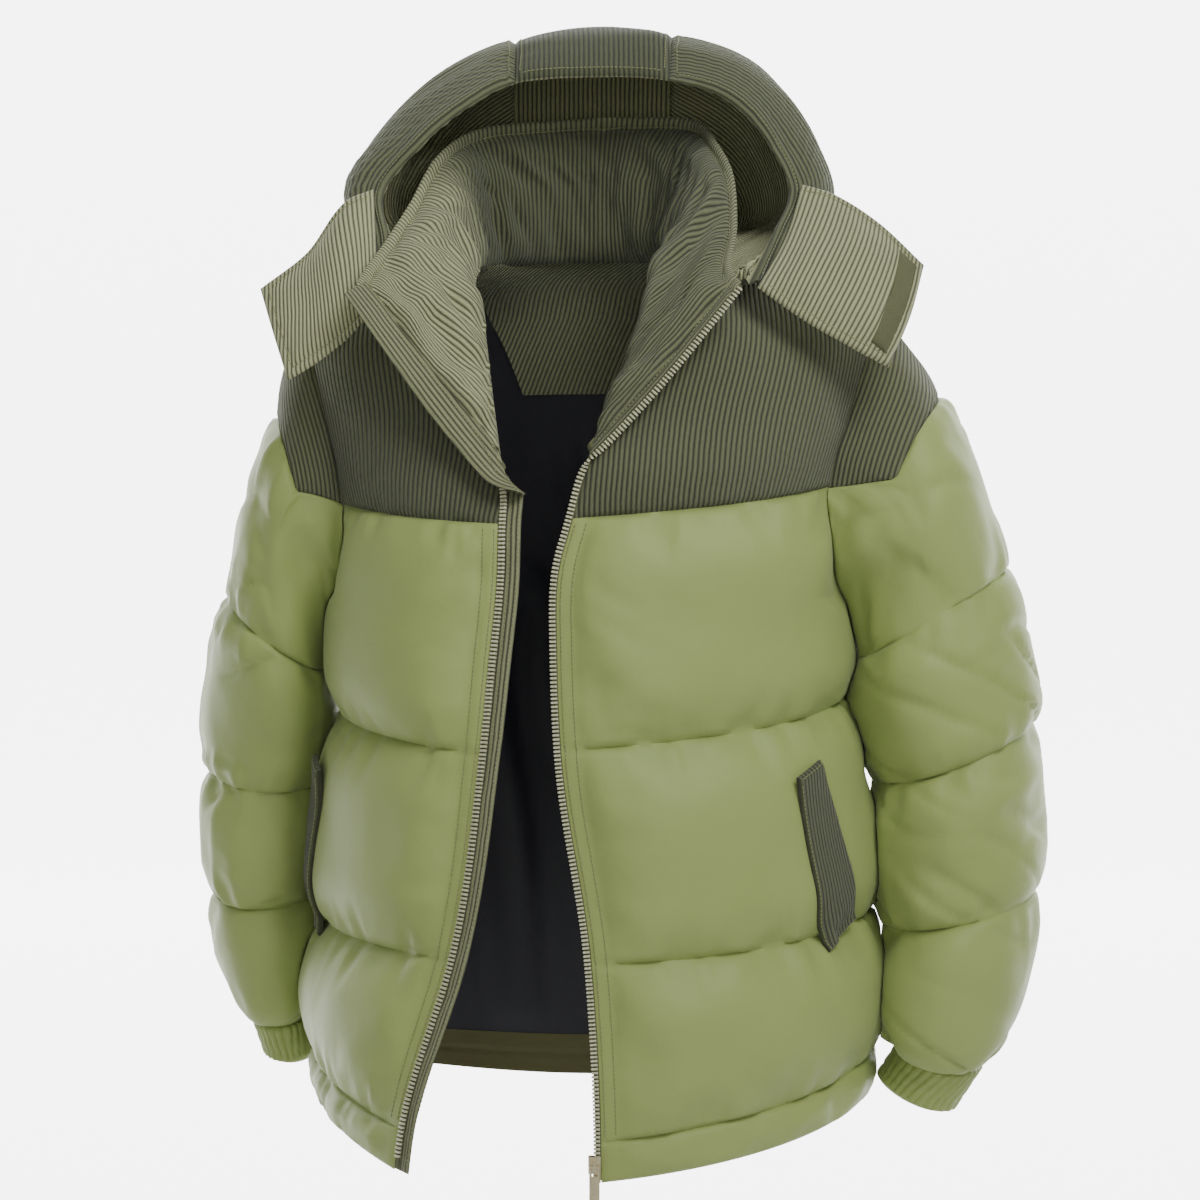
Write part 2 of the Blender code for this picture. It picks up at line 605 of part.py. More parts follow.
def cap_reach(count, half):
    """How far down the sleeve the corduroy cap reaches at each point round it, 0 to 1."""
    corner = row_at(YOKE)
    reach = []
    for i in range(count):
        down = i if i <= half else count - i
        reach.append(max(min((corner - down) / CAP_RISE, 1), CAP_TIP if down == corner else 0))
    return np.array(reach)


def sleeve_pieces(name, surface, cuff):
    """The cap, the quilted tubes between the rings of stitching, and the cuff."""
    grid, normals = surface["grid"], surface["normals"]
    count, half = len(grid), row_at(UNDERARM)
    sleeve_rows = np.cumsum([len(parts) for parts in DOWN_SLEEVE])
    cap_rows, first = sleeve_rows[0], sleeve_rows[1]
    reach = cap_reach(count, half) * cap_rows

    def between(start, end, parts, columns):
        """The sleeve's surface between two heights that differ round it."""
        at = np.array([0.0, *parts])
        lines, shades = [], []
        for i in columns:
            t = start[i] + (end[i] - start[i]) * at
            lines.append(through(grid[i], t))
            shades.append(through(normals[i], t))
        shades = np.array(shades)
        return np.array(lines), shades / np.linalg.norm(shades, axis=-1, keepdims=True)

    corner = row_at(YOKE)
    columns = [i % count for i in range(-corner, corner + 1)]
    part, shade = between(np.zeros(count), reach, even(3), columns)
    rise = WALL + 0.5 * YOKE_PUFF * fill(part)
    wall(f"sleeve_{name}_cap", part, shade, rise, 0.0, CORD, top=ARM_GAP)

    turn = np.array([pi * i / half if i <= half else pi + pi * (i - half) / (count - half)
                     for i in range(count)])
    full = SLEEVE_PUFF * (UNDER_ARM_SHARE + (1 - UNDER_ARM_SHARE) * (1 + np.cos(turn)) / 2)
    full = full[:, None]
    part, shade = between(reach, np.full(count, first), eased(5), range(count))
    wall(f"sleeve_{name}_1", part, shade, WALL + full * fill(part, ring=True), 0.0, LIGHT,
         ring=True, top=ARM_GAP)
    spans = ((first, sleeve_rows[2]), (sleeve_rows[2], sleeve_rows[3]), (sleeve_rows[3], sleeve_rows[5]))
    for number, (top, low) in enumerate(spans, start=2):
        part, shade = grid[:, top:low + 1], normals[:, top:low + 1]
        wall(f"sleeve_{name}_{number}", part, shade, WALL + full * fill(part, ring=True), 0.0, LIGHT,
             ring=True)
    part = cuff["grid"]
    rise = WALL + CUFF_PUFF * fill(part, ring=True)
    wall(f"cuff_{name}", part, cuff["normals"], rise, 0.0, LIGHT, ring=True, top=ARM_GAP)


sleeve_pieces("left", left_sleeve, left_cuff)
sleeve_pieces("right", right_sleeve, right_cuff)


# ---- collar, hood and chin flaps -------------------------------------------------------


def loft(rows, across, along):
    """A grid through rows of points, with so many steps between points each way."""
    lines = [through(row, places([even(along)] * (len(row) - 1))) for row in rows]
    return through(lines, places([even(across)] * (len(rows) - 1))) * MM


def padded(name, grid, half, out, within, finish):
    """A padded piece that swells by its own amount on each face of a loft."""
    normals = normals_of(grid)
    swell = fill(grid)
    rise, drop = half + out * swell, half + within * swell
    wall(name, grid, normals, rise, drop, finish)
    return {"grid": grid, "normals": normals, "rise": rise, "drop": drop}


collar_grid = loft(COLLAR, COLLAR_STEPS, COLLAR_UP // 2)
from_end = lengths_from_start(collar_grid, 0)
from_end = np.minimum(from_end, from_end[-1:] - from_end)
lying = np.clip(from_end / LAPEL, 0, 1)
collar = padded("collar", collar_grid, WALL, COLLAR_OUT * lying, COLLAR_IN, CORD)


def hood_pieces():
    """The hood's middle strip and its two sides, one loft cut at the strip's seams."""
    grid = loft(HOOD, ACROSS_HOOD, ALONG_HOOD)
    normals = normals_of(grid)
    first, last = (station * ACROSS_HOOD for station in HOOD_SEAMS)
    for name, start, end in (("right", 0, first), ("middle", first, last), ("left", last, len(grid) - 1)):
        part, shade = grid[start:end + 1], normals[start:end + 1]
        swell = HOOD_HALF + HOOD_PUFF * fill(part)
        wall("hood_" + name, part, shade, swell, swell, CORD)


hood_pieces()
flaps = {}
for name, rows in (("flap_left", FLAP_LEFT), ("flap_right", FLAP_RIGHT)):
    flaps[name] = padded(name, loft(rows, 3, 4), FLAP_HALF, FLAP_PUFF, FLAP_PUFF, CORD)


# ---- what lies on the pieces -----------------------------------------------------------


def sample(grid, across, down):
    """The point of a grid's own facets at fractional places across and down."""
    i, j = min(int(across), len(grid) - 2), min(int(down), len(grid[0]) - 2)
    a, b = across - i, down - j
    near, far = grid[i, j], grid[i + 1, j + 1]
    if a >= b:
        return near + a * (grid[i + 1, j] - near) + b * (far - grid[i + 1, j])
    return near + b * (grid[i, j + 1] - near) + a * (far - grid[i, j + 1])


def patch(name, grid, out, corners, across, down, lift, thick, finish):
    """A flat piece on a panel's outside, made from the panel's own points moved out."""
    (top_near, top_far), (low_near, low_far) = np.array(corners, float)
    lying, facing = np.empty((across + 1, down + 1, 3)), np.empty((across + 1, down + 1, 3))
    for i, j in np.ndindex(across + 1, down + 1):
        a, b = i / across, j / down
        place = (1 - b) * ((1 - a) * top_near + a * top_far) + b * ((1 - a) * low_near + a * low_far)
        lying[i, j], facing[i, j] = sample(grid, *place), sample(out, *place)
    facing = facing / np.linalg.norm(facing, axis=-1, keepdims=True)
    closed_wall(name, lying + facing * (lift + thick), lying + facing * lift, finish)


for name, surface in (("left", left_front), ("right", right_front)):
    out = surface["normals"][:, row_at(YOKE):row_at(HEM_SEAM) + 1]
    patch("pocket_welt_" + name, OUTSIDE["front_" + name], out, POCKETS[name],
          WELT_ACROSS, WELT_DOWN, WELT_LIFT, WELT, CORD)
flap = flaps["flap_left"]
patch("hook_patch", flap["grid"] - flap["normals"] * flap["drop"][..., None], -flap["normals"],
      PATCH["corners"], 2, 6, PATCH["lift"], PATCH["thick"], HOOKS)


def edge_band(name, sections, up, low, high, finish):
    """A band along an edge, from its lines of points side by side."""
    grid = np.array(sections)
    closed_wall(name, grid + up * high, grid + up * low, finish)


def unit(way):
    return way / np.linalg.norm(way, axis=-1, keepdims=True)


def square_to(edge, beside):
    """The direction from an edge to the points beside it, square to the edge."""
    along = unit(np.gradient(edge, axis=0))
    way = beside - edge
    return unit(way - along * np.sum(way * along, axis=-1, keepdims=True))


ZIPS = {}
TURN_ROW = row_at(YOKE) - 1     # the front's first row below the point where it folds to a lapel
for name, front, end, beside in (("left", left_front, 0, 1), ("right", right_front, -1, -2)):
    points, normals, drop = (collar[key][:, ::-1] for key in ("grid", "normals", "drop"))
    inside = points - normals * drop[..., None]
    low = slice(TURN_ROW, None)
    edge = np.concatenate([points[end], front["grid"][0, low]])
    into = square_to(edge, np.concatenate([points[beside], front["grid"][1, low]]))
    inner = np.concatenate([inside[end], front["grid"][0, low]])
    inner_into = square_to(inner, np.concatenate([inside[beside], front["grid"][1, low]]))
    turn = points.shape[1] - 1
    for ways in (into, inner_into):
        ways[turn] = unit(ways[turn - 1] + ways[turn + 1])
    ZIPS[name] = {
        "edge": edge, "into": into,
        "inner": inner, "inner_into": inner_into,
        "up": np.concatenate([normals[end], front["normals"][0, low]]),
        "middle": np.repeat([0.0, WALL / 2], [turn + 1, len(inner) - turn - 1])[:, None],
    }


def by_place(line, on_lapel, below, at_turn):
    """A measure along a zip line that differs on the lapel, below it and where they meet."""
    values = np.where(line["middle"] == 0, on_lapel, below)
    turn = np.sum(line["middle"] == 0)
    values[turn - 1:turn + 1] = at_turn
    return values


for name, line in ZIPS.items():
    edge, into = line["edge"].copy(), line["into"]
    way = unit(edge[-1] - edge[-2])
    edge[-1] -= way * (BOX["tall"] + 2 * GAP)
    near = by_place(line, CHAIN["from"], CHAIN["from"], CHAIN["from_at_turn"])
    edge_band("zip_chain_" + name, [edge + into * near, edge + into * CHAIN["to"]],
              line["up"], line["middle"] - CHAIN["thick"] / 2, line["middle"] + CHAIN["thick"] / 2, TAPE)
line = ZIPS["right"]
lift = by_place(line, GUARD["lift_on_lapel"], GUARD["lift"], GUARD["lift_at_turn"])
sewn = by_place(line, GUARD["sewn"], GUARD["sewn"], GUARD["sewn_at_turn"])
sections = [line["inner"] + line["inner_into"] * sewn, line["inner"],
            line["inner"] + line["into"] * GUARD["past"]]
edge_band("zip_guard", sections, line["up"], -lift - GUARD["thick"], -lift, CORD)


# ---- the zip's slider, box and pull tab ------------------------------------------------


def box(name, low, high, finish=METAL, collection=PARTS):
    """A box between two corners, its origin at the scene's."""
    mesh = bpy.data.meshes.new(name)
    shape = bmesh.new()
    bmesh.ops.create_cube(shape, size=1.0)
    low, high = np.array(low), np.array(high)
    for vertex in shape.verts:
        vertex.co = low + (np.array(vertex.co) + 0.5) * (high - low)
    shape.to_mesh(mesh)
    shape.free()
    return add(name, mesh, finish, collection)


def cutter(name, low, high):
    made = box(name, low, high, collection=CUTTERS)
    made.hide_render = True
    made.display_type = "WIRE"
    return made


def combine(target, other, operation):
    modifier = target.modifiers.new(other.name, "BOOLEAN")
    modifier.operation = operation
    modifier.solver = "EXACT"
    modifier.object = other


def soften(target, width):
    modifier = target.modifiers.new("soft edges", "BEVEL")
    modifier.width = width
    modifier.segments = 2
    modifier.limit_method = "ANGLE"


HEM_END = left_front["grid"][0, -1]
EDGE_X, HEM_Z = HEM_END[0], HEM_END[2]
MID_Y = HEM_END[1] - WALL / 2               # the plane of the chain at the hem
INNER_X = EDGE_X - 0.5 * MM                 # the slider's side next to the front
OUTER_X = INNER_X - SLIDER["wide"]
CHAIN_X = EDGE_X + CHAIN["to"]              # the chain's free side
SLIDER_Z = HEM_Z + BOX["tall"] + 2 * GAP
SLIDER_TOP = SLIDER_Z + SLIDER["long"]
ROOM = SLIDER["room"] / 2
FACE_Y = MID_Y - ROOM - SLIDER["plate"]     # the slider's front face

slider = box("slider", (OUTER_X, FACE_Y, SLIDER_Z),
             (INNER_X, MID_Y + ROOM + SLIDER["plate"], SLIDER_TOP))
POST_X = CHAIN_X - 0.4 * MM
OVER = 1 * MM
for name, low_x, high_x in (("slot_left", POST_X, INNER_X + OVER),
                            ("slot_right", OUTER_X - OVER, POST_X - SLIDER["post"])):
    slot = cutter(name, (low_x, MID_Y - ROOM, SLIDER_Z - OVER), (high_x, MID_Y + ROOM, SLIDER_TOP + OVER))
    combine(slider, slot, "DIFFERENCE")
BRIDGE_X = (OUTER_X + INNER_X) / 2
BRIDGE_Z = SLIDER_Z + (SLIDER["long"] - BRIDGE["long"]) / 2
bridge = cutter("bridge", (BRIDGE_X - BRIDGE["wide"] / 2, FACE_Y - BRIDGE["out"], BRIDGE_Z),
                (BRIDGE_X + BRIDGE["wide"] / 2, FACE_Y + SLIDER["plate"] / 2, BRIDGE_Z + BRIDGE["long"]))
HOLE_Z = BRIDGE_Z + (BRIDGE["long"] - BRIDGE["hole_long"]) / 2
hole = cutter("bridge_hole", (BRIDGE_X - BRIDGE["wide"], FACE_Y - BRIDGE["hole"], HOLE_Z),
              (BRIDGE_X + BRIDGE["wide"], FACE_Y, HOLE_Z + BRIDGE["hole_long"]))
combine(slider, bridge, "UNION")
combine(slider, hole, "DIFFERENCE")

# The tab hangs by its top bar in the bridge's hole and turns about that bar.
AXIS = np.array([BRIDGE_X, FACE_Y - BRIDGE["hole"] / 2, HOLE_Z + 0.2 * MM + TAB_BAR / 2])
TAB_TOP = AXIS[2] + TAB_BAR / 2
tab = box("pull_tab", (AXIS[0] - TAB["wide"] / 2, AXIS[1] - TAB["thick"] / 2, TAB_TOP - TAB["long"]),
          (AXIS[0] + TAB["wide"] / 2, AXIS[1] + TAB["thick"] / 2, TAB_TOP))
SLOT_TOP = TAB_TOP - TAB_BAR
SLOT_SIDE = TAB["slot_wide"] / 2
tab_slot = cutter("tab_slot",
                  (AXIS[0] - SLOT_SIDE, AXIS[1] - TAB["thick"], SLOT_TOP - TAB["slot_long"]),
                  (AXIS[0] + SLOT_SIDE, AXIS[1] + TAB["thick"], SLOT_TOP))
combine(tab, tab_slot, "DIFFERENCE")
soften(tab, 0.3 * MM)
for vertex in tab.data.vertices:
    vertex.co = np.array(vertex.co) - AXIS
tab.location = AXIS
tab_slot.parent = tab
tab_slot.matrix_parent_inverse = Matrix.Translation(-AXIS)

BOX_Z = HEM_Z + GAP
box("zip_box", (CHAIN_X - 1 * MM, MID_Y - BOX["thick"] / 2, BOX_Z),
    (EDGE_X - 0.5 * MM, MID_Y + BOX["thick"] / 2, BOX_Z + BOX["tall"] - GAP))
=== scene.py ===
import math
import bmesh
import bpy
import numpy as np
from mathutils import Matrix, Vector
from mathutils.bvhtree import BVHTree


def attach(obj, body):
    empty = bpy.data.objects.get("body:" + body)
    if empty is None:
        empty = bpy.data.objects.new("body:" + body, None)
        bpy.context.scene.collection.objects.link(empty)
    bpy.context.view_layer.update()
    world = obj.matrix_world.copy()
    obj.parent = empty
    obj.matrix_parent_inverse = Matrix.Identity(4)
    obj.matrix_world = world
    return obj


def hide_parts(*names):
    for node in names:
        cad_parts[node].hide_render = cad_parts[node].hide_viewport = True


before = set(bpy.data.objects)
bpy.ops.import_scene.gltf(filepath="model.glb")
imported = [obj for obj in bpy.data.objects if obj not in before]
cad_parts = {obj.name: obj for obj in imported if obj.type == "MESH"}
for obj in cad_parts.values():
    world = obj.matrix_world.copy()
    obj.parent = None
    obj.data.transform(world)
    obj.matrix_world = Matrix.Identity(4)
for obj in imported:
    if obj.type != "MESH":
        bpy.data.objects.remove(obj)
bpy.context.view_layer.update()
mm = 0.001

# The jacket hangs as worn: front towards -Y, its left side at +X, origin at the neck.
# The row tables repeat the solids' own sections, in millimetres, so that each finer
# piece keeps the form of the solid it stands for.
frontLeftRows = (
    # x, y, z at the zip or neck edge, heading; x, y, z at the armhole or side, heading
    (72, 0, 6, 0, 222, 4, -36, 3),              # shoulder
    (46, -90, -44, 0, 211, -40, -75, 45),       # upper
    (18, -117, -104, 0, 195, -60, -120, 55),    # roll
    (-1, -136, -143, 0, 187, -67, -143, 55),    # break
    (-12, -141, -183, 0, 183, -68, -166, 55),   # yoke
    (-23, -150, -225, 0, 187, -52, -225, 65),   # low arm
    (-24, -157, -285, 0, 195, 0, -270, 90),     # underarm
    (-21, -165, -356, 0, 198, 0, -335, 90),     # quilt 1
    (2, -180, -516, -3, 219, 0, -503, 90),      # quilt 2
    (9, -190, -650, -3, 222, 0, -612, 90),      # hem seam
    (9, -190, -681, -3, 222, 0, -643, 90),      # hem
)
frontRightRows = (
    (-98, 0, -3, 0, -222, 4, -36, 3),
    (-86, -80, -46, 0, -212, -36, -76, 45),
    (-78, -116, -104, 5, -200, -56, -120, 55),
    (-67, -146, -157, 8, -193, -60, -150, 58),
    (-68, -162, -185, 10, -189, -62, -180, 62),
    (-69, -172, -228, 15, -190, -48, -228, 70),
    (-75, -186, -290, 24, -193, 0, -270, 92),
    (-81, -205, -352, 34, -193, 0, -345, 92),
    (-103, -238, -500, 46, -206, 0, -510, 92),
    (-139, -258, -622, 58, -214, 0, -606, 92),
    (-143, -260, -652, 58, -214, 0, -630, 92),
)
yokeRow, underarmRow, quiltOne, quiltTwo, hemSeam, hemRow = 4, 6, 7, 8, 9, 10
backRows = (
    # middle y, z; armhole or side x, y, z
    (81, 6, 222, 4, -36),
    (112, -45, 212, 46, -75),
    (128, -108, 198, 68, -120),
    (134, -141, 193, 73, -145),
    (138, -170, 191, 74, -172),
    (145, -225, 192, 55, -226),
    (150, -270, 195, 0, -270),
    (155, -345, 200, 0, -340),
    (160, -505, 208, 0, -506),
    (160, -648, 213, 0, -615),
    (158, -681, 214, 0, -644),
)
sleeveLeftRows = (
    # outer x, z; inner x, z; middle x, z; front y, back y
    (272, -104, 212, -284, 233, -165, -80, 84),     # cap
    (321, -238, 213, -306, 261, -268, -82, 82),     # quilt 1
    (342, -357, 232, -402, 284, -382, -86, 68),     # quilt 2
    (345, -488, 239, -515, 290, -503, -92, 51),     # quilt 3
    (316, -602, 242, -600, 278, -604, -84, 24),     # gather
    (308, -622, 247, -614, 277, -622, -78, 16),     # wrist
    (284, -660, 230, -640, 257, -652, -72, 8),      # cuff
)
sleeveRightRows = (
    (-242, -120, -211, -284, -225, -175, -70, 90),
    (-282, -262, -211, -318, -244, -292, -58, 102),
    (-298, -402, -216, -408, -256, -410, -32, 116),
    (-296, -500, -222, -498, -259, -504, -28, 106),
    (-275, -584, -224, -580, -249, -586, -14, 84),
    (-268, -600, -227, -598, -248, -602, -8, 76),
    (-258, -630, -222, -632, -240, -633, -4, 66),
)
collarRows = (
    # bottom, middle, top, from the left zip edge round the neck to the right one
    ((-1, -139, -138), (46, -135, -88), (114, -123, -7)),
    ((13, -125, -98), (64, -116, -44), (107, -100, 4)),
    ((40, -98, -32), (78, -80, 4), (113, -56, 34)),
    ((59, -50, -5), (84, -36, 36), (111, -9, 73)),
    ((68, 0, 9), (81, 11, 55), (99, 26, 97)),
    ((61, 46, 10), (70, 58, 62), (84, 68, 113)),
    ((30, 72, 9), (31, 82, 62), (36, 88, 115)),
    ((-32, 73, 8), (-31, 83, 60), (-32, 88, 112)),
    ((-80, 50, 4), (-87, 60, 50), (-92, 70, 105)),
    ((-92, 5, 1), (-106, 16, 42), (-120, 26, 85)),
    ((-88, -43, -12), (-114, -33, 18), (-139, -20, 50)),
    ((-80, -82, -42), (-116, -77, -10), (-156, -62, 22)),
    ((-72, -122, -98), (-121, -115, -52), (-171, -98, 0)),
    ((-64, -150, -153), (-117, -132, -88), (-178, -118, -14)),
)
hoodRows = (
    # opening, crest of the brim, back of the head, nape, neck seam, from right to left
    ((-147, -86, -20), (-147, -80, -17), (-143, -72, -16), (-135, -66, -17), (-126, -60, -20)),
    ((-153, -52, 22), (-164, -36, 26), (-161, -20, 18), (-140, -14, 4), (-116, -38, -2)),
    ((-160, -18, 60), (-187, 4, 66), (-184, 34, 44), (-156, 46, 22), (-113, 10, 6)),
    ((-136, -8, 92), (-161, 28, 107), (-168, 74, 82), (-148, 96, 34), (-98, 54, 4)),
    ((-104, 0, 119), (-118, 42, 145), (-126, 112, 120), (-118, 137, 50), (-76, 80, 2)),
    ((-60, 7, 142), (-60, 50, 169), (-64, 142, 150), (-62, 168, 62), (-44, 90, 1)),
    ((2, 12, 147), (3, 54, 178), (2, 150, 160), (0, 180, 66), (0, 94, 0)),
    ((64, 8, 144), (66, 50, 174), (68, 142, 152), (64, 168, 62), (44, 90, 3)),
    ((113, 0, 127), (131, 42, 151), (138, 112, 122), (122, 137, 50), (74, 74, 7)),
    ((141, -8, 98), (167, 29, 112), (172, 75, 84), (148, 95, 36), (84, 44, 11)),
    ((156, -20, 64), (186, 6, 66), (183, 34, 44), (146, 46, 26), (88, 8, 13)),
    ((142, -52, 30), (158, -36, 30), (154, -24, 20), (128, -22, 8), (91, -34, 3)),
    ((121, -87, -10), (124, -80, -7), (122, -72, -6), (114, -66, -8), (104, -60, -12)),
)
hoodSeams = (5, 7)
flapLeftRows = (
    # top, middle, bottom edge, from the seam at the hood to the free end
    ((163.4, -28.4, 64), (150.3, -58.2, 26), (127, -94, -12)),
    ((189, -28, 56), (180, -72, 12), (160, -105, -35)),
    ((222, -42, 35), (212, -82, -8), (193, -111, -54)),
    ((256, -57, 3), (243, -88, -36), (226, -105, -72)),
)
flapRightRows = (
    ((-166.3, -27.7, 60.4), (-163.3, -55.8, 20.5), (-159, -90, -23)),
    ((-189, -34, 50), (-187, -69, 4), (-181, -100, -48)),
    ((-215, -42, 14), (-211, -78, -24), (-203, -106, -66)),
    ((-252, -60, -15), (-240, -88, -48), (-228, -106, -82)),
)
wallThick = 2.5
# Between two table rows the solids have these many points, which set how the armhole's
# points are shared out round the sleeve.
armholeSteps = (0, 0.5, 1, 1.5, 2, 3, 4, 4.3, 5, 5.5, 6)


# ---- curves, lofts and heights

def through(points, at):
    # the smooth curve through points, or through rows of points, read at places
    points, at = np.asarray(points, float), np.asarray(at, float)
    spans = np.diff(points, axis=0)
    flat = np.linalg.norm(spans, axis=-1).reshape(len(spans), -1).mean(axis=1)
    slopes = spans / flat.reshape(-1, *[1] * (points.ndim - 1))
    tangents = np.empty_like(points)
    tangents[0], tangents[-1] = slopes[0], slopes[-1]
    for i in range(1, len(points) - 1):
        before, after = flat[i - 1], flat[i]
        tangents[i] = (slopes[i - 1] * after + slopes[i] * before) / (before + after)
    low = np.clip(np.floor(at).astype(int), 0, len(points) - 2)
    wide = (-1, *[1] * (points.ndim - 1))
    t, length = (at - low).reshape(wide), flat[low].reshape(wide)
    return (
        (2 * t**3 - 3 * t**2 + 1) * points[low]
        + (t**3 - 2 * t**2 + t) * length * tangents[low]
        + (3 * t**2 - 2 * t**3) * points[low + 1]
        + (t**3 - t**2) * length * tangents[low + 1]
    )


def finePlaces(curves, first, last, step):
    # where to read rows of curves so that the points are about a step apart, in mm
    curves = np.asarray(curves, float)
    places = [float(first)]
    for i in range(first, last):
        length = np.linalg.norm(curves[i + 1] - curves[i], axis=-1).mean()
        count = max(2, round(length / step))
        places += [i + (k + 1) / count for k in range(count)]
    return np.array(places)


def planCurve(start, startTurn, end, endTurn, count, side, level=False):
    # a curve across the body whose heading in plan is given at both ends
    start, end = np.array(start, float), np.array(end, float)
    reach = 0.38 * np.hypot(*(end - start)[:2])
    ways = [np.array([side * math.cos(math.radians(a)), math.sin(math.radians(a)), 0.0])
            for a in (startTurn, endTurn)]
    third = np.array([0, 0, (end[2] - start[2]) / 3])
    first = start + reach * ways[0] + (0 if level else third)
    second = end - reach * ways[1] - third
    t = np.linspace(0, 1, count + 1)[:, None]
    return (1 - t)**3 * start + 3 * t * (1 - t)**2 * first + 3 * t**2 * (1 - t) * second + t**3 * end


def unit(way):
    return way / np.maximum(np.linalg.norm(way, axis=-1, keepdims=True), 1e-12)


def normalsOf(grid, ring=False):
    if ring:
        along = np.roll(grid, -1, axis=0) - np.roll(grid, 1, axis=0)
    else:
        along = np.gradient(grid, axis=0)
    return unit(np.cross(along, np.gradient(grid, axis=1)))


def runOf(grid, axis):
    # length from the first point along an axis
    steps = np.linalg.norm(np.diff(grid, axis=axis), axis=-1)
    first = np.zeros_like(np.take(steps, [0], axis=axis))
    return np.concatenate([first, np.cumsum(steps, axis=axis)], axis=axis)


def dome(distance, edge, power=0.8):
    return np.sin(math.pi / 2 * np.clip(distance / edge, 0, 1)) ** power


def softNoise(u, v, size, seed, wrap=None):
    # smooth random heights from about -1 to 1, with hills of the given sizes in millimetres
    table = np.random.default_rng(seed).uniform(-1, 1, (128, 128))
    wide, long, cells = size[0] * mm, size[1] * mm, 128
    a, b = u / wide, v / long
    if wrap is not None:
        cells = max(int(round(wrap / wide)), 3)
        a = u / wrap * cells
    i, j = np.floor(a).astype(int), np.floor(b).astype(int)
    s, t = a - i, b - j
    s, t = s * s * s * (s * (6 * s - 15) + 10), t * t * t * (t * (6 * t - 15) + 10)
    near = table[i % cells, j % 128] * (1 - s) + table[(i + 1) % cells, j % 128] * s
    far = table[i % cells, (j + 1) % 128] * (1 - s) + table[(i + 1) % cells, (j + 1) % 128] * s
    return near * (1 - t) + far * t


def puckers(along, away, pitch, reach, seed, wrap=None):
    # short creases that run out square from a line of stitching and fade away from it
    away = np.maximum(away, 0)
    ripple = softNoise(along, away * 0.15, (pitch, pitch), seed, wrap)
    sharp = 1 - 2 * np.abs(ripple) ** 0.8
    far = reach * mm * (1 + 0.6 * softNoise(along, away * 0, (pitch * 2.3, pitch), seed + 1, wrap))
    return sharp * np.exp(-(away / far) ** 1.3)


def groove(distance, at, wide):
    # a bell curve round a place, such as the dent of a line of stitching, 1 at its middle
    return np.exp(-((distance - at) / wide) ** 2)


def runs(grid):
    return runOf(grid, 0), runOf(grid, 1)


def ramp(distance, reach):
    # from 0 to 1 over a reach in millimetres
    return np.clip(distance / (reach * mm), 0, 1)


def toEnds(run, axis=0):
    # the distance to the nearer end along an axis
    return np.minimum(run, (run[:, -1:] if axis else run[-1:]) - run)


def rounded(distance, radius):
    # the profile of a rounded edge: 0 at the edge, 1 from its radius on
    return np.sqrt(1 - (1 - np.clip(distance / radius, 0, 1)) ** 2)


def edgeRoll(grid, radius):
    # the same profile round all four edges of a grid
    across, along = runs(grid)
    return rounded(np.minimum(toEnds(across), toEnds(along, 1)), radius)


def raised(grid, normals, rise):
    # a grid moved along its normals by millimetres
    return grid + normals * (rise * mm)[..., None]


def evened(values, axis=0, passes=1, ring=False):
    # each value is drawn towards its neighbours, and the two ends of a line stay
    for _ in range(passes):
        if ring:
            values = (np.roll(values, 1, axis) + 2 * values + np.roll(values, -1, axis)) / 4
        else:
            line = np.moveaxis(values, axis, 0)
            line[1:-1] = (line[:-2] + 2 * line[1:-1] + line[2:]) / 4
    return values


def readAt(values, run, at):
    # a line's points or ways, read at lengths along it
    return np.stack([np.interp(at, run, values[:, k]) for k in range(values.shape[1])], axis=1)


# ---- meshes

def inScene(name, data):
    made = bpy.data.objects.new(name, data)
    bpy.context.scene.collection.objects.link(made)
    return made


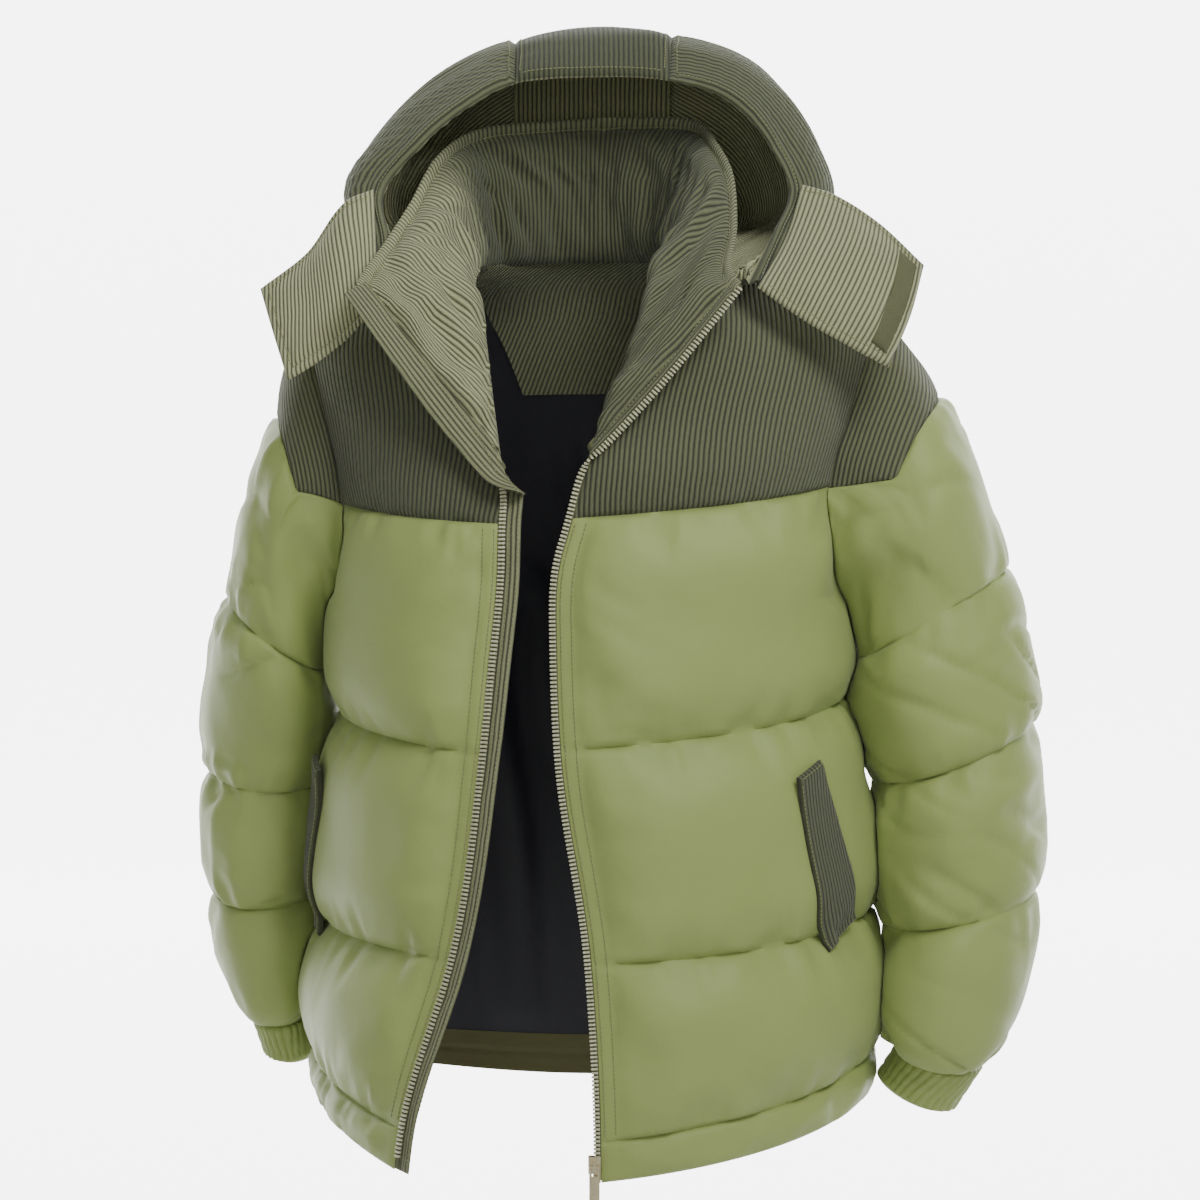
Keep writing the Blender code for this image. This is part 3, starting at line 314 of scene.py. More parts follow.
def shell(name, outer, inner, uv, finish, ring=False, thin=4, nap=None, napInside=None):
    # a closed wall between a fine outer grid and a plain inner one, with its UVs in metres;
    # nap values blend the corduroy's dark and light colour sets, from 0, dark, to 1, light: partly how far
    # the pile is brushed up, partly painted shade and painted light
    rows, columns = outer.shape[:2]
    span = rows if ring else rows - 1
    keepI = sorted(set(range(0, span, thin)) | {span})
    keepJ = sorted(set(range(0, columns - 1, thin)) | {columns - 1})
    kept = [(i % rows, j) for i in keepI if i < rows for j in keepJ]
    insideAt = {cell: rows * columns + k for k, cell in enumerate(kept)}
    points = np.concatenate([outer.reshape(-1, 3), [inner[cell] for cell in kept]])
    faces, corners = [], []

    def add(outside, inside):
        # a face of some cells of the outer grid and some of the inner one
        faces.append([i % rows * columns + j for i, j in outside]
                     + [insideAt[i % rows, j] for i, j in inside])
        corners.extend(outside + inside)

    def rim(cells):
        add(cells, [cells[-1], cells[0]])

    for i in range(span):
        for j in range(columns - 1):
            add([(i, j), (i + 1, j), (i + 1, j + 1), (i, j + 1)], [])
    for a, b in zip(keepI, keepI[1:]):
        for c, d in zip(keepJ, keepJ[1:]):
            add([], [(a, d), (b, d), (b, c), (a, c)])
    for a, b in zip(keepI, keepI[1:]):
        rim([(i, 0) for i in range(b, a - 1, -1)])
        rim([(i, columns - 1) for i in range(a, b + 1)])
    if not ring:
        for c, d in zip(keepJ, keepJ[1:]):
            rim([(0, j) for j in range(c, d + 1)])
            rim([(rows - 1, j) for j in range(d, c - 1, -1)])
    mesh = bpy.data.meshes.new(name)
    mesh.from_pydata(points.tolist(), [], faces)
    layer = mesh.uv_layers.new(name="cloth")
    index = np.array(corners)
    layer.data.foreach_set("uv", uv[index[:, 0], index[:, 1]].astype(np.float32).ravel())
    work = bmesh.new()
    work.from_mesh(mesh)
    if work.calc_volume(signed=True) < 0:
        bmesh.ops.reverse_faces(work, faces=work.faces)
    work.to_mesh(mesh)
    work.free()
    mesh.shade_smooth()
    mesh.set_sharp_from_angle(angle=math.radians(60))
    mesh.materials.append(finish)
    if nap is not None:
        grid = np.broadcast_to(nap, (rows, columns))
        within = grid if napInside is None else np.broadcast_to(napInside, (rows, columns))
        values = np.append(grid.ravel(), [within[cell] for cell in kept])
        mesh.attributes.new("nap", "FLOAT", "POINT").data.foreach_set("value", values.astype(np.float32))
    return inScene(name, mesh)


def clothUv(grid, ring=False, ribsAlong=True, across=None):
    # UVs in metres: the first runs across the ribs, the second along them
    if ring:
        grid = np.concatenate([grid, grid[:1]])
    pair = (runOf(grid, 0) if across is None else across, runOf(grid, 1))
    return np.stack(pair if ribsAlong else pair[::-1], axis=-1)


def finishPiece(made, nodes):
    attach(made, "jacket")
    if nodes:
        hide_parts(*nodes)
    return made


def paddedPiece(name, nodeName, outer, inner, uv, finish, fill, **more):
    # a filled wall in taffeta or corduroy
    made = shell(name, outer, inner, uv, finish, **more)
    finishPiece(made, [nodeName])


# no cut is counted as less than this share of its own length times its width
leastArea = 0.31


def sheetPiece(name, nodes, seen, hidden, cut, finish, slotName, held, restsOn, **more):
    # a thin cloth, whose cut's width, length and area are measured over its grid
    made = finishPiece(shell(name, seen, hidden, clothUv(cut), finish, **more), nodes)
    width, length = [run.max() for run in (runOf(cut, 0)[-1], runOf(cut, 1)[:, -1])]
    across, along = cut[1:, :-1] - cut[:-1, :-1], cut[:-1, 1:] - cut[:-1, :-1]
    area = np.linalg.norm(np.cross(across, along), axis=-1).sum()
    area = min(max(area, leastArea * width * length), width * length)
    print(f"{name}: flat {width * 1000:.0f} x {length * 1000:.0f} mm, {area * 1e4:.0f} cm2")


# ---- materials

def linear(colour):
    # an sRGB hex colour as the linear values that the shader takes
    parts = [int(colour[i:i + 2], 16) / 255 for i in (1, 3, 5)]
    return (*[c / 12.92 if c <= 0.04045 else ((c + 0.055) / 1.055) ** 2.4 for c in parts], 1.0)


def fillIn(tree, made, inputs):
    for key, value in inputs.items():
        if isinstance(value, bpy.types.NodeSocket):
            tree.links.new(value, made.inputs[key])
        else:
            made.inputs[key].default_value = value
    return made


def node(tree, kind, inputs=None, **settings):
    made = tree.nodes.new("ShaderNode" + kind)
    for key, value in settings.items():
        setattr(made, key, value)
    return fillIn(tree, made, inputs or {})


def maths(tree, kind, first, second=0.0, third=0.0):
    return node(tree, "Math", {0: first, 1: second, 2: third}, operation=kind).outputs[0]


def noise(tree, place, scale, detail, more=None):
    inputs = {"Vector": place, "Scale": scale, "Detail": detail, **(more or {})}
    return node(tree, "TexNoise", inputs).outputs[0]


def bumped(tree, height, strength, distance, more=None):
    inputs = {"Height": height, "Strength": strength, "Distance": distance, **(more or {})}
    return node(tree, "Bump", inputs).outputs[0]


def blended(tree, share, first, second):
    # a mix of two colours by a share from 0 to 1
    return node(tree, "Mix", {0: share, 6: first, 7: second}, data_type="RGBA").outputs[2]


def newMaterial(name):
    made = bpy.data.materials.new(name)
    made.use_nodes = True
    return made, made.node_tree, made.node_tree.nodes["Principled BSDF"]


def objectPlace(tree):
    return node(tree, "TexCoord").outputs["Object"]


def softTaffeta(name, base, shade, rough):
    # calendered polyester taffeta over filling: smooth and matte with a faint satin sheen,
    # fine crinkles where it is drawn in; a 0.3 mm thread is too fine, so grain is at 0.8 mm
    made, tree, shader = newMaterial(name)
    place = objectPlace(tree)
    grain = bumped(tree, noise(tree, place, 1250.0, 1.0), 0.12, 0.0002)
    crinkle = noise(tree, place, 55.0, 3.0, {"Roughness": 0.55, "Distortion": 0.6})
    fillIn(tree, shader, {
        "Base Color": blended(tree, noise(tree, place, 9.0, 2.0), linear(base), linear(shade)),
        "Normal": bumped(tree, crinkle, 0.35, 0.0016, {"Normal": grain}),
        "Roughness": rough, "IOR": 1.48, "Specular IOR Level": 0.36, "Sheen Weight": 0.1,
        "Sheen Roughness": 0.5})
    return made


wale = {"pitch": 3.9 * mm, "height": 1.1 * mm}


def corduroy(name, brushedDownAndShaded, brushedUpAndLit):
    # cotton corduroy: round piled ribs 3.9 mm apart with close valleys painted dark as shade, no gloss, and
    # pile that lies unevenly, so that the ribs are broken by lighter and darker stretches.
    # There are two colour sets, each a rib colour and a valley colour: the darker is partly pile brushed down
    # and partly painted shade, the lighter partly pile brushed up and partly painted light, and a per-point
    # nap value blends the two.
    made, tree, shader = newMaterial(name)
    cloth = node(tree, "UVMap", uv_map="cloth").outputs[0]
    parts = node(tree, "SeparateXYZ", {0: cloth})
    across = maths(tree, "MULTIPLY_ADD", noise(tree, cloth, 60.0, 1.0), 0.0007, parts.outputs[0])
    turn = maths(tree, "SINE", maths(tree, "MULTIPLY", across, math.pi / wale["pitch"]))
    arch = maths(tree, "ABSOLUTE", turn)
    lie = node(tree, "Mapping", {"Vector": cloth, "Scale": (900.0, 260.0, 1.0)}).outputs[0]
    pile = noise(tree, lie, 1.0, 2.0)
    share = maths(tree, "MULTIPLY", arch, maths(tree, "MULTIPLY_ADD", pile, 0.6, 0.66))
    share = maths(tree, "MULTIPLY_ADD", noise(tree, cloth, 22.0, 2.0), 0.12, share)
    nap = node(tree, "Attribute", attribute_name="nap").outputs["Fac"]
    # the nap value mixes the darker set, partly painted shade, with the lighter set, partly painted light
    rib, valley = [blended(tree, nap, linear(down), linear(up)) for down, up in zip(brushedDownAndShaded, brushedUpAndLit)]
    height = maths(tree, "MULTIPLY_ADD", pile, 0.22, arch)
    fillIn(tree, shader, {
        # the valley colour is painted shade in the hollows between the ribs, the rib colour their lit crests
        "Base Color": blended(tree, maths(tree, "MINIMUM", share, 1.0), valley, rib),
        "Normal": bumped(tree, height, 1.0, wale["height"]),
        "Roughness": 0.92, "Sheen Weight": 0.12, "Sheen Roughness": 0.6})
    return made


def plainCloth(name, base, shade, rough, grainSize, depth):
    # a plain weave: two tones over its grain, whose size is in metres
    made, tree, shader = newMaterial(name)
    grain = noise(tree, objectPlace(tree), 1 / grainSize, 2.0)
    fillIn(tree, shader, {"Base Color": blended(tree, grain, linear(base), linear(shade)),
                          "Normal": bumped(tree, grain, 0.6, depth), "Roughness": rough})
    return made


def castMetal(name, base, rough):
    # die-cast zinc with a dull antique brass plating: soft reflections, worn lighter in spots
    made, tree, shader = newMaterial(name)
    worn = noise(tree, objectPlace(tree), 420.0, 3.0)
    fillIn(tree, shader, {"Base Color": blended(tree, worn, linear(base), linear("#E3DCBE")),
                          "Normal": bumped(tree, worn, 0.2, 0.0002), "Metallic": 1.0, "Roughness": rough})
    return made


def acetal(name, base):
    # injection-moulded acetal teeth: pale, smooth and half glossy, a little dirt-toned
    made, tree, shader = newMaterial(name)
    tone = noise(tree, objectPlace(tree), 300.0, 1.0)
    fillIn(tree, shader, {"Base Color": blended(tree, tone, linear(base), linear("#B9B893")),
                          "Roughness": 0.35})
    return made


taffeta = softTaffeta("polyester_taffeta_green", "#9BAA64", "#93A15B", 0.54)
# the darker set's rib and valley colours, pile brushed down with painted shade, then the lighter set's, pile
# brushed up with painted light
cord = corduroy("cotton_corduroy_olive", ("#4A5035", "#0E1008"), ("#B5B98C", "#2E311D"))
liningCloth = plainCloth("polyester_lining_black", "#1B1B25", "#12121A", 0.55, 0.9 * mm, 0.1 * mm)
# the hem facings' taffeta is a darker copy of the shell's: painted shade for the inside of the hem
paintedShadeFacingTaffeta = softTaffeta("polyester_taffeta_facing_painted_shade", "#5C5B34", "#504F2C", 0.6)
tapeCloth = plainCloth("woven_zip_tape", "#6F7350", "#52563A", 0.85, 0.8 * mm, 0.3 * mm)
hookCloth = plainCloth("nylon_hook_tape", "#6D7050", "#474B31", 0.9, 0.7 * mm, 0.9 * mm)
threadCloth = plainCloth("polyester_thread", "#8F936A", "#787C55", 0.6, 0.5 * mm, 0.1 * mm)
teethPlastic = acetal("moulded_acetal_teeth", "#D9D8BC")
sliderMetal = castMetal("zinc_casting_antique_brass", "#B5A878", 0.38)
print("materials made")


# ---- the body

body = {"step": 4.2, "across": 58, "acrossBack": 14, "puff": 12, "spare": 0.035, "cap": 7, "edge": 46,
        "seam": 0.7, "roll": 3.5, "zipFlat": 13, "zipEdge": 30, "sideEdge": 50, "sideShare": 0.7, "sag": 3.5,
        "pucker": 4.6, "pitch": 15, "reach": 15, "swell": 2.2}
# the yokes take mostly the darker corduroy colours: partly the pile's lie, partly painted shade
yoke = {"step": 4.2, "across": 52, "puff": 7, "edge": 34, "pucker": 1.6, "pitch": 13, "reach": 10,
        "swell": 1.4, "nap": (0.16, 0.1, 0.18)}
hem = {"step": 2.2, "across": 58, "puff": 4.5, "edge": 15, "pucker": 1.8, "pitch": 12, "reach": 12,
       "swell": 0.8, "spare": 0.03, "cap": 4}


def frontSurface(rows, side, first, last, step, across):
    # a front from its zip edge to its side, and from one table row down to another
    curves = [planCurve(row[0:3], row[3], row[4:7], row[7], across, side) for row in rows]
    at = finePlaces(curves, first, last, step)
    grid = through(curves, at).swapaxes(0, 1) * mm
    normals = -side * normalsOf(grid)
    return leanAtShoulder({"points": grid, "normals": normals, "at": at}, [(slice(None), side)])


def backSurface(first, last, step, across):
    # the back from its left side to its right; across counts the points over a shoulder's fifth
    curves = []
    for number, (y, z, armX, armY, armZ) in enumerate(backRows):
        halves = []
        for side, rows in ((1, frontLeftRows), (-1, frontRightRows)):
            end = (side * armX, armY, armZ) if number < underarmRow else rows[number][4:7]
            if number:
                half = planCurve((0, y, z), 0, end, -80, 8 * across // 2, side, level=True)
            else:
                roundNeck = planCurve((0, y, z), 0, rows[0][:3], -88, 3 * across // 2, side)
                half = np.concatenate([roundNeck, np.linspace(rows[0][:3], end, 5 * across // 2 + 1)[1:]])
            halves.append(half)
        curves.append(np.concatenate([halves[0][::-1], halves[1][1:]]))
    at = finePlaces(curves, first, last, step)
    grid = through(curves, at).swapaxes(0, 1) * mm
    shoulder = 5 * across // 2 + 1
    ends = [(slice(0, shoulder), 1), (slice(-shoulder, None), -1)]
    return leanAtShoulder({"points": grid, "normals": -normalsOf(grid), "at": at}, ends)


def leanAtShoulder(surface, ends, reach=25 * mm):
    # front and back share one normal at the shoulder seam and take their own further down
    if surface["at"][0] == 0:
        for columns, side in ends:
            share = np.clip(runOf(surface["points"][columns], 1) / reach, 0, 1)[..., None]
            up = np.array([0.25 * side, 0, 0.968])
            surface["normals"][columns] = unit(up * (1 - share) + surface["normals"][columns] * share)
    return surface


def pillow(surface, lines, recipe, zipped=False, ring=False):
    # the filling's height from 0 at each line of quilting to 1, and what it keeps at the sides
    grid, at = surface["points"], surface["at"]
    height = np.zeros(grid.shape[:2])
    for top, bottom in zip(lines, lines[1:]):
        rows = slice(int(np.searchsorted(at, top)), int(np.searchsorted(at, bottom)) + 1)
        run = runOf(grid[:, rows], 1)
        half = np.minimum(recipe["edge"] * mm, 0.5 * run[:, -1:])
        height[:, rows] = dome(run, half) * dome(run[:, -1:] - run, half)
    if ring:
        return height
    share = body["sideShare"] * np.clip((at - underarmRow) / 1.1, 0, 1)
    across, sideEdge = runOf(grid, 0), body["sideEdge"] * mm
    if zipped:
        height = height * dome(across - body["zipFlat"] * mm, body["zipEdge"] * mm)
    else:
        height = height * (share + (1 - share) * dome(across, sideEdge))
    return height * (share + (1 - share) * dome(across[-1:] - across, sideEdge))


def seamDistance(grid, at, lines):
    # how far each point lies from the nearest line of quilting
    run = runOf(grid, 1)
    marks = [run[:, int(np.searchsorted(at, line))][:, None] for line in lines]
    return np.min([np.abs(run - mark) for mark in marks], axis=0)


def ringRun(grid):
    # lengths round a ring, drawn to the mean length of its rows
    run = runOf(np.concatenate([grid, grid[:1]]), 0)
    whole = float(run[-1].mean())
    return run[:-1] / run[-1:] * whole, whole


def swollen(surface, height, lines, recipe, full, seed, ring=False, flatTo=None):
    # the padded outside: filling, sag, puckers at the stitching and slow unevenness
    grid, normals = surface["points"], surface["normals"]
    across, wrap = ringRun(grid) if ring else (runOf(grid, 0), None)
    along = runOf(grid, 1)
    away = seamDistance(grid, surface["at"], lines)
    rolled = rounded(away if ring else np.minimum(away, toEnds(across)), body["roll"] * mm)
    rise = (body["seam"] + (wallThick - body["seam"]) * rolled) * mm + full * mm * height
    free = ramp(away, 2) * rolled
    if flatTo is not None:
        free = free * np.clip((across - flatTo) / (14 * mm), 0.1, 1)
    crease = puckers(across, away, recipe["pitch"], recipe["reach"], seed, wrap)
    slow = softNoise(across, along, (75, 60), seed + 5, wrap)
    slow += 0.6 * softNoise(across, along, (34, 46), seed + 6, wrap)
    uneven = recipe["pucker"] * np.minimum(crease, 0.25) + recipe["swell"] * slow * np.sqrt(height)
    rise += mm * free * uneven
    fallen = np.array([0, 0, -1.0]) * (recipe.get("sag", 0) * mm * height**1.5)[..., None]
    return grid + normals * rise[..., None] + fallen


def gridFaces(grid, ring=False):
    rows, columns = grid.shape[:2]
    number = np.arange(rows * columns).reshape(rows, columns)
    if ring:
        number = np.concatenate([number, number[:1]])
    corners = [number[:-1, :-1], number[1:, :-1], number[1:, 1:], number[:-1, 1:]]
    return np.stack(corners, axis=-1).reshape(-1, 4)


filling = {"frames": 16, "pressure": 3.0, "stiff": 12, "bend": 0.08, "quality": 5, "mass": 0.15,
           "evenings": 2}


def inflated(name, outer, normals, sewn, recipe, ring=False):
    # the cloth is cut larger than its panel and sewn down at its edges, and the filling
    # presses it out: a short cloth simulation finds where it crumples
    mesh = bpy.data.meshes.new(name)
    mesh.from_pydata(outer.reshape(-1, 3).tolist(), [], gridFaces(outer, ring).tolist())
    if (normalsOf(outer, ring) * normals).sum() <= 0:
        mesh.flip_normals()
    made, scene = inScene(name, mesh), bpy.context.scene
    made.vertex_groups.new(name="sewn").add(np.flatnonzero(sewn).tolist(), 1.0, "REPLACE")
    modifier = made.modifiers.new("filling", "CLOTH")
    cloth = modifier.settings
    cloth.quality = filling["quality"]
    cloth.mass = filling["mass"]
    cloth.tension_stiffness = cloth.compression_stiffness = filling["stiff"]
    cloth.shear_stiffness = filling["stiff"] / 3
    cloth.bending_stiffness = filling["bend"]
    cloth.use_pressure = True
    cloth.uniform_pressure_force = filling["pressure"]
    cloth.effector_weights.gravity = 0
    cloth.vertex_group_mass = "sewn"
    cloth.shrink_min = cloth.shrink_max = -recipe["spare"]
    modifier.point_cache.frame_start, modifier.point_cache.frame_end = 1, filling["frames"]
    for number in range(1, filling["frames"] + 1):
        scene.frame_set(number)
    settled = made.evaluated_get(bpy.context.evaluated_depsgraph_get())
    places = np.empty(outer.size)
    settled.data.vertices.foreach_get("co", places)
    bpy.data.objects.remove(made)
    scene.frame_set(1)
    moved = places.reshape(outer.shape) - outer
    for _ in range(filling["evenings"]):
        moved = evened(evened(moved, axis=1), ring=ring)
    length = np.maximum(np.linalg.norm(moved, axis=-1, keepdims=True), 1e-9)
    most = recipe["cap"] * mm
    print(f"{name}: filled, moved {length.mean() * 1000:.1f} mm, at most {length.max() * 1000:.1f} mm")
    return outer + moved * most * np.tanh(length / most) / length


def clearOfWall(outer, surface, least=1.0 * mm, soft=1.2 * mm, deepest=6 * mm):
    # the outside never sinks into the wall's own inner face
    short = least - ((outer - surface["points"]) * surface["normals"]).sum(axis=-1)
    lift = (short + np.sqrt(short**2 + soft**2)) / 2
    return outer + surface["normals"] * np.where(short > -deepest, lift, 0)[..., None]


def sewnAt(grid, at, lines, ring=False):
    # the points that stitching holds: the lines of quilting and the panel's edges
    held = np.zeros(grid.shape[:2], bool)
    for line in lines:
        held[:, int(np.searchsorted(at, line - 1e-6))] = True
    if not ring:
        held[[0, -1]] = True
    return held


outside, bodyOutsides = {}, []


def bodyPanel(name, surface, lines, recipe, finish, seed, zipped=False, ribs=None, nap=None):
    height = pillow(surface, lines, recipe, zipped)
    flatTo = body["zipFlat"] * mm if zipped else None
    outer = swollen(surface, height, lines, recipe, recipe["puff"], seed, flatTo=flatTo)
    if finish is taffeta:
        held = sewnAt(outer, surface["at"], lines)
        if zipped:
            held[1:4] = True
        outer = inflated(name, outer, surface["normals"], held, recipe)
        bodyOutsides.append((outer, surface["normals"]))
    uv = clothUv(surface["points"], across=ribs)
    paddedPiece(name, name, outer, surface["points"], uv, finish, 0.7, nap=nap)
    outside[name] = outer


def threePanels(name, surfaceOf, ribsOf, seeds, nap, zipped):
    # the ribbed yoke, the quilted body and the hem band of a front or of the back
    spans = ((0, yokeRow, yoke), (yokeRow, hemSeam, body), (hemSeam, hemRow, hem))
    upper, middle, low = [surfaceOf(first, last, recipe["step"], recipe["across"])
                          for first, last, recipe in spans]
    ribs = ribsOf(upper["points"])
    bodyPanel(name + "_yoke", upper, (0, yokeRow), yoke, cord, seeds[0], ribs=ribs, nap=nap)
    lines = (yokeRow, quiltOne, quiltTwo, hemSeam)
    bodyPanel(name + "_body", middle, lines, body, taffeta, seeds[1], zipped)
    bodyPanel(name + "_hem", low, (hemSeam, hemRow), hem, taffeta, seeds[2], zipped)


def ribsFromSide(grid):
    return runOf(grid[::-1], 0)[::-1]


def ribsFromMiddle(grid):
    run = runOf(grid, 0)
    return run - run[len(run) // 2]


sides = {"left": (frontLeftRows, 1), "right": (frontRightRows, -1)}
for number, (name, (rows, side)) in enumerate(sides.items()):
    threePanels("front_" + name, lambda *place: frontSurface(rows, side, *place), ribsFromSide,
                (11 + number, 21 + 7 * number, 31 + number), yoke["nap"][number], True)
threePanels("back", lambda first, last, step, _: backSurface(first, last, step, body["acrossBack"]),
            ribsFromMiddle, (41, 51, 61), yoke["nap"][2], False)
print("body made")


# ---- sleeves and cuffs

sleeve = {"step": 4.2, "round": 96, "puff": (0, 7, 8, 8), "edge": 34, "underArm": 1.5, "pucker": 4.2,
          "pitch": 22, "reach": 26, "swell": 3.4, "sag": 2.5, "spare": 0.05, "cap": 8, "clear": 1.2,
          "seamOutside": 3.2, "seamInside": 6.5, "fold": 3.2, "foldSlant": 1.1, "foldSize": (48, 95)}
# the caps take mostly the darker corduroy colours: partly the pile's lie, partly painted shade
cap = {"across": 66, "puff": 4, "edge": 30, "sideEdge": 20, "pucker": 1.5, "pitch": 12, "reach": 9,
       "swell": 1.0, "rise": 1.2, "least": 0.03, "nap": 0.2}
# the cuff's pleats wander over half a radian of the turn and 30 mm of the length
cuff = {"step": 2.5, "round": 240, "edge": 2.5, "pleats": 30, "wander": (500, 30), "depth": 2.0,
        "seams": (0.36, 0.68)}


def upAndDown(turn):
    # how far down the armhole's points each place round the sleeve lies, on either side
    return np.where(turn <= math.pi, turn, 2 * math.pi - turn) / math.pi * (len(armholeSteps) - 1)


def armholePoint(turn, front, backColumn):
    # the armhole's points in the order that the solids share them out round the sleeve
    at = np.interp(upAndDown(turn), range(len(armholeSteps)), armholeSteps)
    share = (turn <= math.pi)[:, None]
    return np.where(share, through(front, at), through(backColumn, at))


def ringRow(row, turn):
    # a ring of stitching: four points round it, and the smooth loop through them
    outX, outZ, inX, inZ, midX, midZ, frontY, backY = row
    centreY = (frontY + backY) / 2
    outer, inner = np.array([outX, centreY, outZ]), np.array([inX, centreY, inZ])
    front, back = np.array([midX, frontY, midZ]), np.array([midX, backY, midZ])
    lift = ((outer + inner) - (front + back)) / 4
    middle = (outer + inner + front + back) / 4
    turn = turn[:, None]
    return (middle + (outer - inner) / 2 * np.cos(turn) + (front - back) / 2 * np.sin(turn)
            + lift * np.cos(2 * turn))


def sleeveColumns(rows, frontRows, side, turn):
    # where each line down the sleeve starts at the armhole, and its rings
    front = [row[4:7] for row in frontRows]
    backColumn = [front[0]] + [(side * row[2], row[3], row[4]) for row in backRows[1:underarmRow]]
    backColumn.append(front[underarmRow])
    start = armholePoint(turn, front[:underarmRow + 1], backColumn)
    return [start] + [ringRow(row, turn) for row in rows]


def capReach(turn):
    # the share of the first span that the corduroy cap takes at each place round the sleeve
    return np.clip((armholeSteps.index(yokeRow) - upAndDown(turn)) / cap["rise"], 0, 1)


def betweenLines(rings, start, end, step, side, ring):
    # the sleeve between two heights, counted in rings, that may differ round it
    rings, places = np.array(rings), len(rings[0])
    start, end = np.broadcast_to(start, places), np.broadcast_to(end, places)
    lengths = np.linalg.norm(np.diff(rings, axis=0), axis=-1).mean(axis=1)
    down = np.interp(end.max(), range(len(lengths) + 1), np.append(0, np.cumsum(lengths)))
    count = max(3, int(round(down / step - start.min() * lengths[0] / step)))
    at = np.linspace(0, 1, count + 1)
    lines = [through(rings[:, i], start[i] + (end[i] - start[i]) * at) for i in range(places)]
    grid = np.array(lines) * mm
    return {"points": grid, "normals": side * normalsOf(grid, ring), "at": at}


def drawnFolds(outer, normals, height, seed):
    # long soft folds that run slanting round a sleeve from its seams
    around, whole = ringRun(outer)
    along = runOf(outer, 1)
    slanted = around + sleeve["foldSlant"] * along
    fold = softNoise(slanted, along, sleeve["foldSize"], seed + 90, whole)
    there = np.clip(softNoise(slanted, along, (90, 60), seed + 91, whole) + 0.7, 0, 1)
    depth = sleeve["fold"] * groove(fold, 0, 0.16) * there * np.sqrt(np.clip(height, 0, 1))
    return raised(outer, -normals, depth)


treePoints, treeFaces = [], []
for outer, out in bodyOutsides:
    faces = gridFaces(outer) + len(treePoints)
    flipped = (normalsOf(outer) * out).sum() < 0
    treeFaces += (faces[:, ::-1] if flipped else faces).tolist()
    treePoints += outer.reshape(-1, 3).tolist()
bodyTree = BVHTree.FromPolygons(treePoints, treeFaces)


def pushedOut(outer, clear, reach=30 * mm):
    # a sleeve that presses against the body is flattened there instead of passing into it
    flat = outer.reshape(-1, 3).copy()
    for k, point in enumerate(flat):
        place, normal, _, _ = bodyTree.find_nearest(Vector(point), reach)
        if place is not None:
            above = (Vector(point) - place).dot(normal)
            if above < clear:
                flat[k] += np.array(normal) * (clear - above)
    return flat.reshape(outer.shape)


def sleeveCap(name, rows, frontRows, side, seed):
    corner = math.pi * armholeSteps.index(yokeRow) / (len(armholeSteps) - 1)
    turn = np.linspace(-corner, corner, cap["across"]) % (2 * math.pi)
    rings = sleeveColumns(rows, frontRows, side, turn)
    reach = np.maximum(capReach(turn), cap["least"])
    top = betweenLines(rings[:-1], 0, reach, sleeve["step"], side, ring=False)
    across, run = runs(top["points"])
    edge, sideEdge = cap["edge"] * mm, cap["sideEdge"] * mm
    height = dome(run, edge) * dome(run[:, -1:] - run, edge)
    height = height * dome(across, sideEdge) * dome(across[-1:] - across, sideEdge)
    outer = swollen(top, height, (0, 1), cap, cap["puff"], seed)
    uv = clothUv(top["points"], ribsAlong=False)
    paddedPiece(name, name, outer, top["points"], uv, cord, 0.6, nap=cap["nap"])


def sleeveTubes(name, rows, frontRows, side, seed):
    turn = np.linspace(0, 2 * math.pi, sleeve["round"] + 1)[:-1]
    rings = sleeveColumns(rows, frontRows, side, turn)
    share = sleeve["underArm"] + (1 - sleeve["underArm"]) * (1 + np.cos(turn)) / 2
    spans = ((capReach(turn), 2), (2, 3), (3, 4), (4, 6))
    # the quilting is shallow where the cloth hangs taut, outside, and where it is squashed, inside
    taut = sleeve["seamOutside"] * np.maximum(np.cos(turn), 0)
    taut = (taut + sleeve["seamInside"] * np.maximum(-np.cos(turn), 0) ** 2)[:, None]
    for number, (start, end) in enumerate(spans, start=1):
        tube = betweenLines(rings[:-1], start, end, sleeve["step"], side, ring=True)
        normals = tube["normals"]
        height = pillow(tube, (0, 1), sleeve, ring=True) * share[:, None]
        atSeams = np.interp(tube["at"], (0, 1), (number > 1, number < len(spans)))
        full = sleeve["puff"][number - 1]
        outer = swollen(tube, height, (0, 1), sleeve, full, seed + 10 * number, ring=True)
        outer = drawnFolds(outer, normals, height, seed + number)
        outer = raised(clearOfWall(outer, tube), normals, taut * atSeams * np.clip(1 - height, 0, 1))
        held = sewnAt(outer, tube["at"], (0, 1), True)
        title = f"{name}_{number}"
        outer = inflated(title, outer, normals, held, sleeve, ring=True)
        outer = pushedOut(clearOfWall(outer, tube), sleeve["clear"] * mm)
        uv = clothUv(tube["points"], True)
        paddedPiece(title, title, outer, tube["points"], uv, taffeta, 0.7, ring=True)


